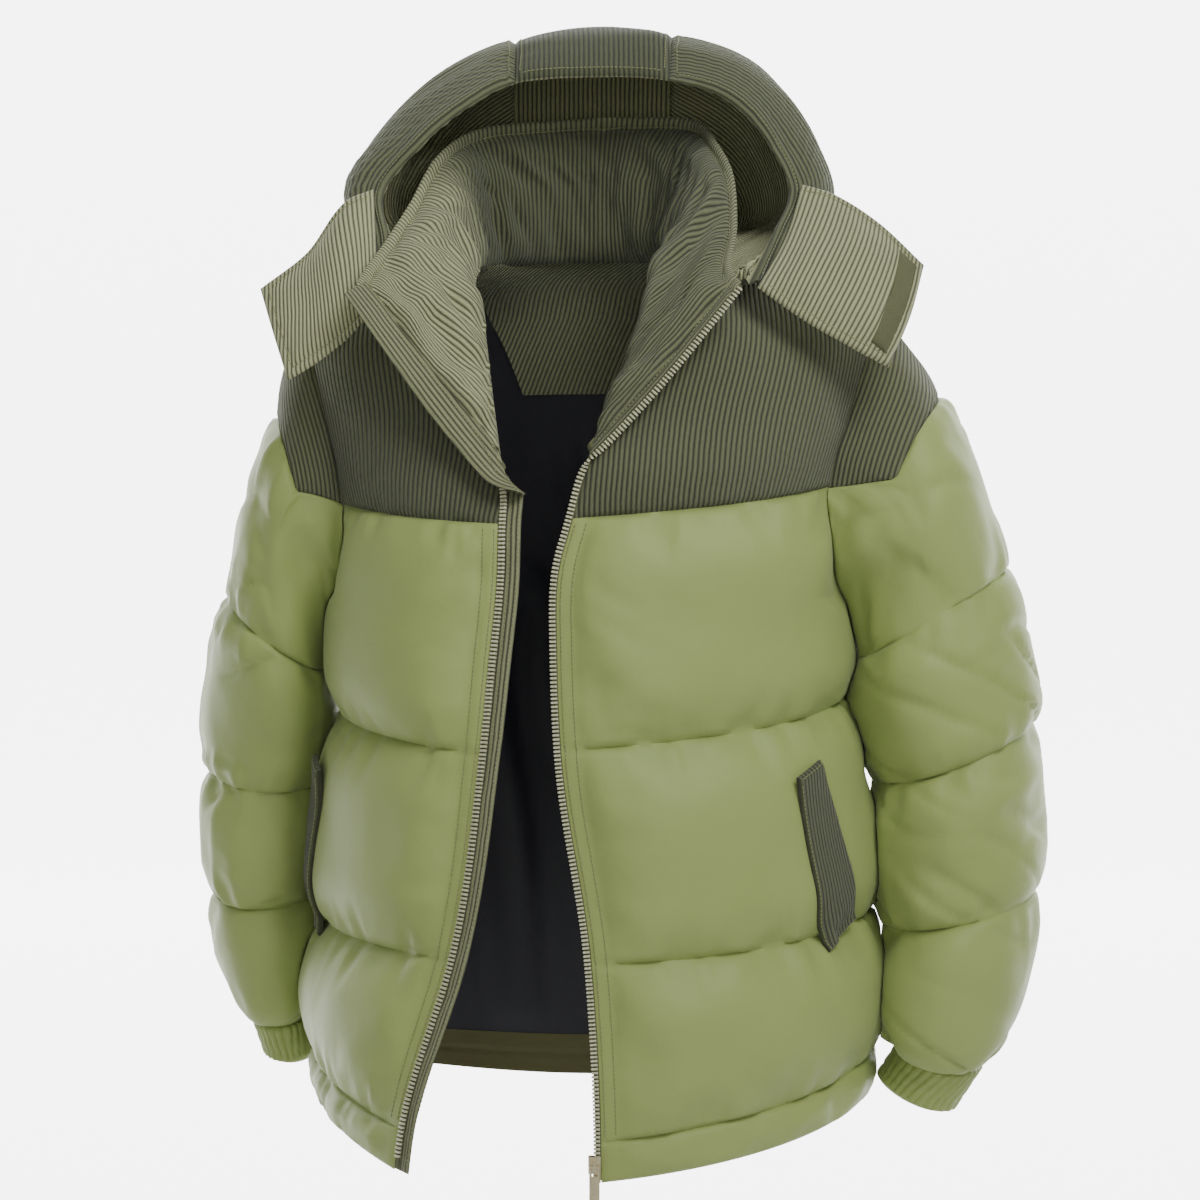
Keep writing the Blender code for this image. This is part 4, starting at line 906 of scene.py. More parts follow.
def cuffBand(name, rows, frontRows, side, seed):
    # gathered taffeta with two rows of elastic stitching
    turn = np.linspace(0, 2 * math.pi, cuff["round"] + 1)[:-1]
    rings = sleeveColumns(rows, frontRows, side, turn)[-2:]
    band = betweenLines(rings, 0, 1, cuff["step"], side, ring=True)
    run = runOf(band["points"], 1)
    rolled = rounded(toEnds(run, 1), cuff["edge"] * mm)
    wander = softNoise(turn[:, None], run, cuff["wander"], seed + 3, 2 * math.pi)
    pleat = np.abs(np.sin(turn[:, None] * cuff["pleats"] / 2 + 1.4 * wander)) ** 0.7
    rise = 1.0 + 2.2 * rolled + cuff["depth"] * pleat * rolled
    rise -= 0.9 * sum(groove(run, run[:, -1:] * share, 1.2 * mm) for share in cuff["seams"])
    outer = raised(band["points"], band["normals"], rise)
    uv = clothUv(band["points"], True)
    paddedPiece(name, name, outer, band["points"], uv, taffeta, 0.2, ring=True)


for name, rows, frontRows, side, seed in (("left", sleeveLeftRows, frontLeftRows, 1, 200),
                                          ("right", sleeveRightRows, frontRightRows, -1, 300)):
    sleeveCap(f"sleeve_{name}_cap", rows, frontRows, side, seed)
    sleeveTubes("sleeve_" + name, rows, frontRows, side, seed)
    cuffBand("cuff_" + name, rows, frontRows, side, seed)
print("sleeves made")


# ---- what repeats: a small piece set along lines by Geometry Nodes

def placingTree():
    # puts a piece on every point, turned by the point's own "turn", and makes it real
    tree = bpy.data.node_groups.new("set pieces along a line", "GeometryNodeTree")
    tree.interface.new_socket("Geometry", in_out="INPUT", socket_type="NodeSocketGeometry")
    ids = {}
    for title, kind in (("Piece", "Object"), ("Size", "Float"), ("Finish", "Material")):
        socket = tree.interface.new_socket(title, in_out="INPUT", socket_type="NodeSocket" + kind)
        ids[title] = socket.identifier
    tree.interface.new_socket("Geometry", in_out="OUTPUT", socket_type="NodeSocketGeometry")

    def step(kind, links, **settings):
        made = tree.nodes.new(kind)
        for key, value in settings.items():
            setattr(made, key, value)
        for key, value in links.items():
            tree.links.new(value, made.inputs[key])
        return made

    source = step("NodeGroupInput", {})
    turn = step("GeometryNodeInputNamedAttribute", {}, data_type="FLOAT_VECTOR")
    turn.inputs["Name"].default_value = "turn"
    rotation = step("FunctionNodeEulerToRotation", {0: turn.outputs[0]})
    piece = step("GeometryNodeObjectInfo", {"Object": source.outputs["Piece"]})
    placed = step("GeometryNodeInstanceOnPoints", {
        "Points": source.outputs["Geometry"], "Instance": piece.outputs["Geometry"],
        "Rotation": rotation.outputs[0], "Scale": source.outputs["Size"]})
    real = step("GeometryNodeRealizeInstances", {0: placed.outputs[0]})
    painted = step("GeometryNodeSetMaterial", {0: real.outputs[0], "Material": source.outputs["Finish"]})
    step("NodeGroupOutput", {0: painted.outputs[0]})
    return tree, ids


placing, placingInputs = placingTree()


def resampled(points, facing, pitch):
    # points a pitch apart along a line given as points and the ways it faces
    run = np.append(0, np.cumsum(np.linalg.norm(np.diff(points, axis=0), axis=1)))
    at = np.arange(pitch / 2, run[-1], pitch)
    return readAt(points, run, at), unit(readAt(facing, run, at))


def setAlong(name, lines, piece, pitch, finish, nodes=()):
    # the piece's x lies along the line and its z faces out
    places, turns = [], []
    for line in lines:
        points, facing = resampled(*line, pitch)
        if len(points) < 3:
            continue
        along = unit(np.gradient(points, axis=0))
        side = unit(np.cross(facing, along))
        for x, y, z in zip(along, side, np.cross(along, side)):
            turns.append(tuple(Matrix((x, y, z)).transposed().to_euler()))
        places.append(points)
    mesh = bpy.data.meshes.new(name)
    mesh.from_pydata(np.concatenate(places).tolist(), [], [])
    mesh.attributes.new("turn", "FLOAT_VECTOR", "POINT").data.foreach_set("vector", np.array(turns).ravel())
    seed = inScene(name, mesh)
    modifier = seed.modifiers.new("pieces", "NODES")
    modifier.node_group = placing
    for title, value in (("Piece", piece), ("Size", 1.0), ("Finish", finish)):
        modifier[placingInputs[title]] = value
    graph = bpy.context.evaluated_depsgraph_get()
    real = bpy.data.meshes.new_from_object(seed.evaluated_get(graph))
    bpy.data.objects.remove(seed)
    real.shade_smooth()
    finishPiece(inScene(name, real), nodes)


def smallPiece(name, profile, wide, sides=6):
    # a little closed spindle along x: its profile gives x and radius as shares
    points, faces = [], []
    for x, r in profile:
        for k in range(sides):
            angle = 2 * math.pi * k / sides
            points.append((x, r * wide * math.cos(angle), r * wide * math.sin(angle)))
    for i in range(len(profile) - 1):
        for k in range(sides):
            a, b = i * sides + k, i * sides + (k + 1) % sides
            faces.append((a, a + sides, b + sides, b))
    faces.append(tuple(range(sides)))
    faces.append(tuple(reversed([len(points) - sides + k for k in range(sides)])))
    mesh = bpy.data.meshes.new(name)
    mesh.from_pydata(points, [], faces)
    return bpy.data.objects.new(name, mesh)


thread = {"pitch": 3.4 * mm, "length": 2.7 * mm, "wide": 0.42 * mm, "lift": 0.25 * mm, "taper": 0.35}
half = thread["length"] / 2
spindle = ((-half, thread["taper"]), (-half * 0.6, 1.0), (half * 0.6, 1.0), (half, thread["taper"]))
stitch = smallPiece("stitch", spindle, thread["wide"])
stitchLines = []


def edgeLine(outer, axis, end, distance):
    # the line on a surface at a distance from one of its edges, with the ways it faces
    step = -1 if end else 1
    grid, normals = [np.moveaxis(part, axis, 0)[::step] for part in (outer, normalsOf(outer))]
    run = runOf(grid, 0)
    return [np.concatenate([readAt(part[:, i], run[:, i], [distance]) for i in range(grid.shape[1])])
            for part in (grid, normals)]


def stitchAt(outer, edges, distance, faceOut, first=2, last=-2):
    # faceOut is 1 or -1: which side of the grid's own normals is the outside
    for axis, end in edges:
        points, facing = edgeLine(outer, axis, end, distance)
        facing = unit(facing) * faceOut
        stitchLines.append(((points + facing * thread["lift"])[first:last], facing[first:last]))


# ---- collar

collar = {"step": 3.2, "up": 2.8, "inside": 10.5, "outside": 5.5, "lapel": 160, "band": 9.5, "dent": 1.8,
          "pucker": 9.0, "pitch": 17, "reach": 32, "swell": 5.4, "tuckAt": 6.35, "tuckedIn": 9, "roll": 4,
          "nape": 6.5, "thin": 0.6, "foot": 26, "rim": 22}


def loft(rows, stepAcross, stepAlong):
    rows = np.array(rows, float)
    along = finePlaces(rows.swapaxes(0, 1), 0, rows.shape[1] - 1, stepAlong)
    lines = np.array([through(row, along) for row in rows])
    at = finePlaces(lines, 0, len(rows) - 1, stepAcross)
    return through(lines, at) * mm, at, along


def collarPiece():
    grid, at, _ = loft(collarRows, collar["step"], collar["up"])
    tucked = collar["tuckedIn"] * mm * np.clip(np.minimum(at - 3, 10 - at), 0, 1)[:, None]
    down = unit(grid[:, 0] - grid[:, 2])
    grid[:, 0] += down * tucked
    grid[:, 1] += down * tucked * 0.6
    normals = normalsOf(grid)
    run, up = runs(grid)
    fromTop, fromEnd, band = up[:, -1:] - up, toEnds(run), collar["band"] * mm
    rolled = edgeRoll(grid, collar["roll"] * mm)
    foot, rim = collar["foot"] * mm, collar["rim"] * mm
    full = dome(up, foot) * dome(fromTop - band, rim) * dome(fromEnd - band, rim)
    slow = softNoise(run, up, (26, 55), 401)
    slow = slow + 0.5 * softNoise(run, up, (13, 30), 402)
    slant = run + 0.35 * up * np.sign(collar["nape"] - at)[:, None]
    crease = np.minimum(puckers(slant, up, collar["pitch"], collar["reach"], 403), 0.25)
    crease += 0.45 * np.minimum(puckers(slant, fromTop - band, 13, 14, 405), 0.2)
    crease += 0.3 * softNoise(slant, up, (8, 34), 406)
    tuck = groove(at, collar["tuckAt"], 0.09)[:, None] * (1 - ramp(fromTop, 46))
    dent = groove(fromTop, band, 1.3 * mm) + groove(fromEnd, band, 1.3 * mm)
    edge = collar["thin"] + (wallThick - collar["thin"]) * rolled
    inside = edge + collar["inside"] * full - collar["dent"] * dent - 4 * tuck * rolled
    inside += rolled * full**0.5 * (collar["swell"] * slow + collar["pucker"] * crease)
    lying = np.clip(fromEnd / (collar["lapel"] * mm), 0, 1)
    outer = edge + collar["outside"] * lying * full - 1.0 * dent
    outer += rolled * full**0.5 * lying * 1.6 * softNoise(run, up, (24, 30), 404)
    seen, hidden = raised(grid, -normals, inside), raised(grid, normals, outer)
    ribs = np.broadcast_to(run.mean(axis=1)[:, None], run.shape)
    # painted light and shade in the nap values: light on the left lapel, where the light falls, darker on the
    # right one and dark at the nape, in shade, partly also the pile's lie; lighter within 14 mm of the top
    # edge
    nap = np.interp(at, (0, 2.5, 4.5, 8.5, 9.5, 13), (0.25, 0.2, 0.1, 0.1, 0.75, 0.85))[:, None]
    nap = nap + 0.45 * (1 - ramp(fromTop, 14)) * (1 - nap)
    paddedPiece("collar_padded", "collar", seen, hidden, clothUv(grid, across=ribs), cord, 0.7, thin=1,
                nap=nap, napInside=0.6)
    for face, out in ((seen, -1), (hidden, 1)):
        stitchAt(face, ((1, 1), (0, 0), (0, 1)), band, out)
    return grid, normals


collarGrid, collarNormals = collarPiece()
print("collar made")


# ---- hood and chin flaps

# the hood's outer strips take mostly the darker corduroy colours, the middle one most; its inside takes the
# lightest, painted light in its shaded hollow
hood = {"step": 3.6, "along": 3.4, "half": 2.7, "thin": 0.7, "roll": 3.5, "puff": 1.8, "seam": 24,
        "seamStitch": 6, "brimRows": (7, 17), "dent": 1.5, "gather": 3.0, "gatherPitch": 12, "swell": 2.0,
        "narrow": 0.03, "crownFrom": 40, "crownOver": 50, "nape": 30,
        "nap": {"right": 0.18, "middle": 0.04, "left": 0.12},
        "pull": {"right": 1.0, "middle": 0.12, "left": 0.45}}


def hoodStrip(name, part, normals, along, first):
    across = runOf(part, 0)
    fromSeam = {"right": across[-1:] - across, "middle": toEnds(across), "left": across}[name]
    rolled = edgeRoll(part, hood["roll"] * mm)
    full = dome(fromSeam, hood["seam"] * mm) * dome(along[:, -1:] - along, hood["nape"] * mm)
    dents = sum(groove(along, row * mm, 1.4 * mm) for row in hood["brimRows"])
    brim = groove(along, 12 * mm, 16 * mm)
    slow = softNoise(across, along, (60, 45), 500 + first)
    rise = hood["thin"] + (hood["half"] - hood["thin"]) * rolled
    rise = rise + hood["puff"] * full * rolled + 0.8 * brim * rolled
    rise += rolled * (hood["swell"] * slow * full - hood["dent"] * dents)
    rise -= 1.3 * rolled * groove(fromSeam, hood["seamStitch"] * mm, 1.2 * mm)
    # an elastic draws the brim in: hard on the right side, a little on the left
    low = np.clip((along.max() * 0.55 - along) / (50 * mm), 0, 1)
    wander = 1.8 * softNoise(across, along, (30, 40), 513)
    gathers = np.sin(2 * math.pi * across / (hood["gatherPitch"] * mm) + wander)
    gathers = gathers * groove(along, 27 * mm, 17 * mm)
    rolls = softNoise(across, along, (60, 12), 510 + first)
    fine = softNoise(across, along, (9, 14), 511)
    drawn = rolled * hood["pull"][name] * low * hood["gather"]
    outer = raised(part, normals, rise + drawn * (0.3 * gathers + 0.9 * rolls))
    inner = raised(part, -normals, rise + drawn * (0.9 * gathers + 0.9 * rolls + 0.4 * fine))
    uv = clothUv(part, ribsAlong=name == "middle")
    # the inside takes the lightest colours: painted light where the hood is in shade
    paddedPiece(f"hood_{name}_padded", "hood_" + name, outer, inner, uv, cord, 0.6, thin=1,
                nap=hood["nap"][name], napInside=1.0)
    stitchAt(outer, ((1, 0),), hood["brimRows"][0] * mm, 1)
    seams = {"right": ((0, 1),), "middle": ((0, 1), (0, 0)), "left": ((0, 0),)}[name]
    stitchAt(outer, seams, hood["seamStitch"] * mm, 1)


grid, at, _ = loft(hoodRows, hood["step"], hood["along"])
# stitched and filled, the hood's crown draws in a little
crown = ramp(grid[..., 2] - hood["crownFrom"] * mm, hood["crownOver"])
grid[..., 0] *= 1 - hood["narrow"] * crown
normals, along = normalsOf(grid), runOf(grid, 1)
cuts = [0, *[int(np.searchsorted(at, station)) for station in hoodSeams], len(grid) - 1]
for name, first, last in zip(("right", "middle", "left"), cuts, cuts[1:]):
    strip = slice(first, last + 1)
    hoodStrip(name, grid[strip], normals[strip], along[strip], first)

# the flaps take the lighter corduroy colours, the right flap fully: painted light where the lamps leave it
# darker
flap = {"step": 3.0, "along": 3.0, "half": 3, "thin": 0.6, "roll": 3, "puff": 3.2, "band": 7.5, "dent": 1.4,
        "swell": 2.6, "nap": {"left": 0.8, "right": 1.0}}
flapFaces = {}
for name, rows in (("left", flapLeftRows), ("right", flapRightRows)):
    grid, at, down = loft(rows, flap["step"], flap["along"])
    normals, band = normalsOf(grid), flap["band"] * mm
    across, along = runs(grid)
    near = np.minimum(toEnds(along, 1), across[-1:] - across)
    rolled = edgeRoll(grid, flap["roll"] * mm)
    full = dome(near - band, 20 * mm) * dome(across, 24 * mm)
    rise = flap["thin"] + (flap["half"] - flap["thin"]) * rolled + flap["puff"] * full
    rise = rise - flap["dent"] * groove(near, band, 1.2 * mm)
    front = rise + rolled * full * flap["swell"] * softNoise(across, along, (30, 42), 610)
    hidden, seen = raised(grid, normals, rise), raised(grid, -normals, front)
    paddedPiece(f"flap_{name}_padded", "flap_" + name, seen, hidden, clothUv(grid), cord, 0.5, thin=1,
                nap=flap["nap"][name])
    for face, out in ((hidden, 1), (seen, -1)):
        stitchAt(face, ((1, 0), (1, 1)), band, out, 2, -3)
        stitchAt(face, ((0, 1),), band, out, 3, -3)
    flapFaces[name] = (seen, -normals, at, down)
print("hood and flaps made")


# ---- what lies on the panels: pocket welts and the hook tape

# the welts take almost only the darker corduroy colours, which carry painted shade
welt = {"lift": 1.2, "thick": 3.2, "thin": 0.5, "under": 0.8, "stitch": 2.6, "across": 28, "down": 60,
        "edge": 2.2, "span": 9, "evenings": 14, "nap": 0.08}
# the corners count points of the solids' panels: across from the zip, and down from the yoke
weltCorners = {"left": (((4.8, 7.5), (5.6, 7.3)), ((5.45, 12.0), (6.65, 10.5))),
               "right": (((6.2, 7.5), (7.1, 7.3)), ((7.0, 12.0), (8.4, 10.5)))}
panelAcross = 9
panelDown = [4, 4.3, 5, 5.5, 6, 6.65, 7]
panelDown += [base + 0.5 - 0.5 * math.cos(math.pi * k / 5) for base in (7, 8) for k in range(1, 6)]


def spread(values, grid):
    # values of a grid read at fractional places across and down
    i, j = grid[..., 0], grid[..., 1]
    a = np.clip(np.floor(i).astype(int), 0, len(values) - 2)
    b = np.clip(np.floor(j).astype(int), 0, len(values[0]) - 2)
    s, t = (i - a)[..., None], (j - b)[..., None]
    return ((values[a, b] * (1 - s) + values[a + 1, b] * s) * (1 - t)
            + (values[a, b + 1] * (1 - s) + values[a + 1, b + 1] * s) * t)


def patchPlaces(corners, across, down):
    (topNear, topFar), (lowNear, lowFar) = np.array(corners, float)
    s, t = np.meshgrid(np.linspace(0, 1, across + 1), np.linspace(0, 1, down + 1), indexing="ij")
    s, t = s[..., None], t[..., None]
    return (1 - t) * ((1 - s) * topNear + s * topFar) + t * ((1 - s) * lowNear + s * lowFar)


def bridged(grid, out):
    # the stiff welt spans the valley of a quilting line instead of sinking into it
    def slid(values, pick):
        wide = np.pad(values, ((0, 0), (welt["span"], welt["span"])), mode="edge")
        return pick([wide[:, k:k + values.shape[1]] for k in range(2 * welt["span"] + 1)], axis=0)

    height = grid @ out
    filled = grid + out * (slid(slid(height, np.max), np.min) - height)[..., None]
    return evened(filled, axis=1, passes=welt["evenings"])


def numbered(values, at):
    # places between a grid's stations as fractional counts of its points
    return np.interp(values, at, range(len(at)))


for name, (rows, side) in sides.items():
    middle = frontSurface(rows, side, yokeRow, hemSeam, body["step"], body["across"])
    at = patchPlaces(weltCorners[name], welt["across"], welt["down"])
    at[..., 0] *= body["across"] / panelAcross
    at[..., 1] = numbered(np.interp(at[..., 1], range(len(panelDown)), panelDown), middle["at"])
    lying = spread(outside[f"front_{name}_body"], at)
    lying = bridged(lying, -side * unit(normalsOf(lying).mean(axis=(0, 1))))
    facing = -side * normalsOf(lying)
    smooth = unit(facing + facing.mean(axis=(0, 1)))
    rolled = edgeRoll(lying, welt["edge"] * mm)
    top = raised(lying, smooth, welt["lift"] + welt["thin"] + (welt["thick"] - welt["thin"]) * rolled)
    below = lying - smooth * (welt["under"] * mm)
    paddedPiece("welt_" + name, "pocket_welt_" + name, top, below, clothUv(lying), cord, 0.2, thin=2,
                nap=welt["nap"])
    stitchAt(top, ((0, 0), (0, 1), (1, 0), (1, 1)), welt["stitch"] * mm, -side)

# the hook tape's corners count points of the flap's solid, which has so many to a table row
hook = {"corners": (((7.4, 0.8), (8.6, 0.7)), ((7.3, 7.2), (8.5, 7.3))), "perRow": (3, 4), "across": 12,
        "down": 36, "thick": 0.8, "sunk": 0.4, "bristle": 0.35}
seen, facing, *stations = flapFaces["left"]
places = patchPlaces(hook["corners"], hook["across"], hook["down"])
for axis, (perRow, at) in enumerate(zip(hook["perRow"], stations)):
    places[..., axis] = numbered(places[..., axis] / perRow, at)
lying, out = spread(seen, places), unit(spread(facing, places))
bristle = hook["bristle"] * softNoise(*runs(lying), (1.6, 1.6), 620)
rise = 0.5 + hook["thick"] * edgeRoll(lying, 1.2 * mm) + bristle
sheetPiece("hook_tape", ["hook_patch"], raised(lying, out, rise), lying - out * hook["sunk"] * mm, lying,
           hookCloth, "hooks", "laid", ["flap_left_padded"], thin=2)
print("welts and hook tape made")


# ---- linings, hem facings and the neck facing

lining = {"step": 7.0, "across": 44, "acrossBack": 12, "gap": 0.5, "thick": 0.9, "fold": 4.5, "pitch": 22,
          "long": 260, "plainTop": 110, "firstRowBack": 4}
hemFacing = {"step": 2.0, "gap": 0.5, "thick": 1.4, "seamAt": 0.5, "seam": 0.9}
# the neck facing leans to the darker corduroy colours: partly painted shade inside the neck
neckPiece = {"top": 0.375, "bottom": 0.22, "from": 3.4, "thick": 1.2, "edge": 1.6, "piping": 1.4,
             "pipingAt": 1.8, "pipingWide": 1.5, "stitch": 4.6, "across": 70, "step": 3.0, "lastRow": 2,
             "nap": 0.35}


def innerCloth(nodeName, surface, finish, slotName, held, rests, near, far):
    # a thin cloth whose visible face looks into the jacket, at two depths from the shell
    grid, normals = surface["points"], surface["normals"]
    seen, hidden = raised(grid, -normals, far), grid - normals * (near * mm)
    sheetPiece(nodeName + "_cloth", [nodeName], seen, hidden, seen, finish, slotName, held, rests, thin=3)


def cutFrom(surface, firstColumn, firstRow=0):
    return {key: surface[key][firstColumn:, firstRow:] for key in ("points", "normals")}


def liningPiece(name, shellName, surface, seed, plainTop=0):
    across, along = runs(surface["points"])
    fade = ramp(along - plainTop * mm, 60) * ramp(along[:, -1:] - along, 20)
    fade = fade * ramp(across, 25) * ramp(across[-1:] - across, 25)
    wave = softNoise(across, along, (lining["pitch"], lining["long"]), seed)
    wave = wave + 0.4 * softNoise(across, along, (11, 120), seed + 1)
    far = lining["gap"] + lining["thick"] + lining["fold"] * fade * np.maximum(wave + 0.15, 0)
    innerCloth(name, surface, liningCloth, "lining", "hung", [shellName + "_yoke", shellName + "_body"],
               lining["gap"], far)


def hemPiece(name, shellName, surface):
    run = runOf(surface["points"], 1)
    seam = hemFacing["seam"] * groove(run, run[:, -1:] * hemFacing["seamAt"], 1.3 * mm)
    # the facing's darker taffeta is painted shade
    innerCloth(name, surface, paintedShadeFacingTaffeta, "shell", "laid", [shellName + "_hem"], hemFacing["gap"],
               hemFacing["gap"] + hemFacing["thick"] - seam)


turnRow = 3
firstColumn = lining["across"] // panelAcross
for name, (rows, side) in sides.items():
    surface = frontSurface(rows, side, turnRow, hemSeam, lining["step"], lining["across"])
    liningPiece("lining_" + name, "front_" + name, cutFrom(surface, firstColumn), 700 + side)
surface = backSurface(0, hemSeam, lining["step"], lining["acrossBack"])
liningPiece("lining_back", "back", cutFrom(surface, 0, lining["firstRowBack"]), 720, lining["plainTop"])
for name, (rows, side) in sides.items():
    surface = frontSurface(rows, side, hemSeam, hemRow, hemFacing["step"], lining["across"])
    hemPiece("hem_facing_" + name, "front_" + name, cutFrom(surface, firstColumn))
hemPiece("hem_facing_back", "back", backSurface(hemSeam, hemRow, hemFacing["step"], lining["acrossBack"]))


def neckFacing():
    # a ribbed facing that narrows downwards from the neck seam, piped and stitched round its edge
    back = backSurface(0, neckPiece["lastRow"], neckPiece["step"], 2 * lining["acrossBack"])
    lie = back["points"] - back["normals"] * (neckPiece["from"] * mm)
    middle = (len(lie) - 1) / 2
    lines = []
    for j, station in enumerate(back["at"]):
        share = station / neckPiece["lastRow"]
        reach = middle * np.interp(share, [0, 1], [neckPiece["top"], neckPiece["bottom"]])
        at = middle + np.linspace(-1, 1, neckPiece["across"] + 1) * reach
        lines.append(readAt(lie[:, j], range(len(lie)), at))
    grid = np.array(lines).swapaxes(0, 1)
    out = np.sign(normalsOf(grid)[len(grid) // 2, -1, 1])
    across, along = runs(grid)
    near = np.minimum(toEnds(across), along[:, -1:] - along)
    rise = neckPiece["thick"] * rounded(near, neckPiece["edge"] * mm)
    rise = rise + neckPiece["piping"] * groove(near, neckPiece["pipingAt"] * mm, neckPiece["pipingWide"] * mm)
    outer = raised(grid, out * normalsOf(grid), rise)
    sheetPiece("neck_facing_cloth", ["neck_facing"], outer, grid, grid, cord, "corduroy", "laid",
               ["lining_back_cloth"], thin=1, nap=neckPiece["nap"])
    stitchAt(outer, ((0, 0), (0, 1), (1, 1)), neckPiece["stitch"] * mm, out)


neckFacing()
print("linings and facings made")


# ---- zip and its guard

zips = {"step": 2.0, "twist": 50, "evenings": 8, "tooth": (1.75, 5.0, 2.5), "bevel": 0.28, "pitch": 3.05,
        "teethFrom": 0.9, "tapeFrom": 8.8, "tapeTo": -4.6, "tapeThick": 0.7, "tapeLift": 0.15,
        "tapeColumns": 8, "rowStep": 4.0, "columns": 60, "toothless": 5, "stitches": (3.0, 11.5)}
guard = {"sewn": 11, "past": -17, "lift": 1.0, "onLapel": 3.8, "atTurn": 5.4, "sewnAtTurn": 1.5, "turn": 22,
         "thick": 1.9, "thin": 0.2, "dent": 0.5, "edge": 2.2, "across": 18, "rows": (2.4, 8.5), "nap": 0.45}


def zipLine(rows, side):
    # the zip edge from the collar's top to the hem: its points, the ways into the cloth and out
    end, beside = (0, 1) if side > 0 else (-1, -2)
    low = frontSurface(rows, side, turnRow, hemRow, zips["rowStep"], zips["columns"])
    edgeLow, nearLow = low["points"][:2]
    top, topNear = collarGrid[end, ::-1], collarGrid[beside, ::-1]
    topUp, nearUp = collarNormals[end, ::-1], collarNormals[beside, ::-1]
    points, near = np.concatenate([top, edgeLow]), np.concatenate([topNear, nearLow])
    inner = np.concatenate([top - topUp * (wallThick * mm), edgeLow])
    nearInner = np.concatenate([topNear - nearUp * (wallThick * mm), nearLow])
    up = np.concatenate([topUp, low["normals"][0]])
    onLapel = np.append(np.ones(len(top)), np.zeros(len(edgeLow)))
    run = np.append(0, np.cumsum(np.linalg.norm(np.diff(points, axis=0), axis=1)))
    at = np.append(np.arange(0, run[-1], zips["step"] * mm), run[-1])

    def even(values):
        return evened(readAt(values, run, at), passes=zips["evenings"])

    def twisted(ways):
        # the tape twists evenly where the lapel turns out: the ways are smoothed as angles
        along = unit(np.gradient(edge, axis=0))
        front = np.array([0, -1.0, 0])
        level = unit(front - along * (along @ front)[:, None])
        across = np.cross(along, level)
        angle = np.unwrap(np.arctan2((ways * across).sum(axis=1), (ways * level).sum(axis=1)))
        angle = evened(angle, passes=zips["twist"])
        return level * np.cos(angle)[:, None] + across * np.sin(angle)[:, None]

    def squareTo(line, beside):
        along = unit(np.gradient(line, axis=0))
        way = beside - line
        return unit(way - along * np.sum(way * along, axis=-1, keepdims=True))

    edge, innerEdge = even(points), even(inner)
    into, outwards = unit(even(squareTo(points, near))), unit(even(up))
    return {"edge": edge, "inner": innerEdge, "into": into, "up": outwards, "toothUp": twisted(outwards),
            "toothInto": twisted(into), "innerInto": unit(even(squareTo(inner, nearInner))),
            "lapel": even(onLapel[:, None])[:, 0], "at": at, "turnAt": run[len(top) - 1]}


def toothPiece():
    # one moulded tooth: a waisted bar with a wider head and rounded edges, reaching out along y
    along, reach, tall = [v * mm for v in zips["tooth"]]
    half = ((-0.5, 0), (0.5, 0), (0.36, 0.45), (0.5, 0.72), (0.42, 1.0))
    outline = half + tuple((-x, y) for x, y in reversed(half[2:]))
    points = [(x * along, y * reach, z * tall) for z in (-0.5, 0.5) for x, y in outline]
    count = len(outline)
    faces = [tuple(reversed(range(count))), tuple(range(count, 2 * count))]
    faces += [(k, (k + 1) % count, (k + 1) % count + count, k + count) for k in range(count)]
    mesh = bpy.data.meshes.new("tooth")
    mesh.from_pydata(points, [], faces)
    work = bmesh.new()
    work.from_mesh(mesh)
    bmesh.ops.bevel(work, geom=list(work.edges), offset=zips["bevel"] * mm, segments=2, affect="EDGES",
                    profile=0.6)
    bmesh.ops.recalc_face_normals(work, faces=work.faces)
    work.to_mesh(mesh)
    work.free()
    return bpy.data.objects.new("tooth", mesh)


def zipSide(name, side, line):
    # the teeth of one side, set along its edge, and the tape that carries them
    level = (1 - line["lapel"])[:, None] * wallThick / 2 * mm
    places = line["edge"] - line["toothInto"] * zips["teethFrom"] * mm + line["toothUp"] * level
    toothed = slice(1, -zips["toothless"])
    points, out = places[toothed], line["toothUp"][toothed]
    if side > 0:
        points, out = points[::-1], out[::-1]
    setAlong("zip_teeth_" + name, [(points, out)], tooth, zips["pitch"] * mm, teethPlastic,
             ["zip_chain_" + name])
    strip = np.array([line["edge"] + line["into" if w > 0 else "toothInto"] * w * mm
                      + line["up"] * level * zips["tapeLift"]
                      for w in np.linspace(zips["tapeFrom"], zips["tapeTo"], zips["tapeColumns"])])[:, 1:-1]
    lift = line["up"][None, 1:-1] * zips["tapeThick"] / 2 * mm
    sheetPiece("zip_tape_" + name, [], strip + lift, strip - lift, strip, tapeCloth, "tape", "laid",
               [f"front_{name}_body"], thin=2)


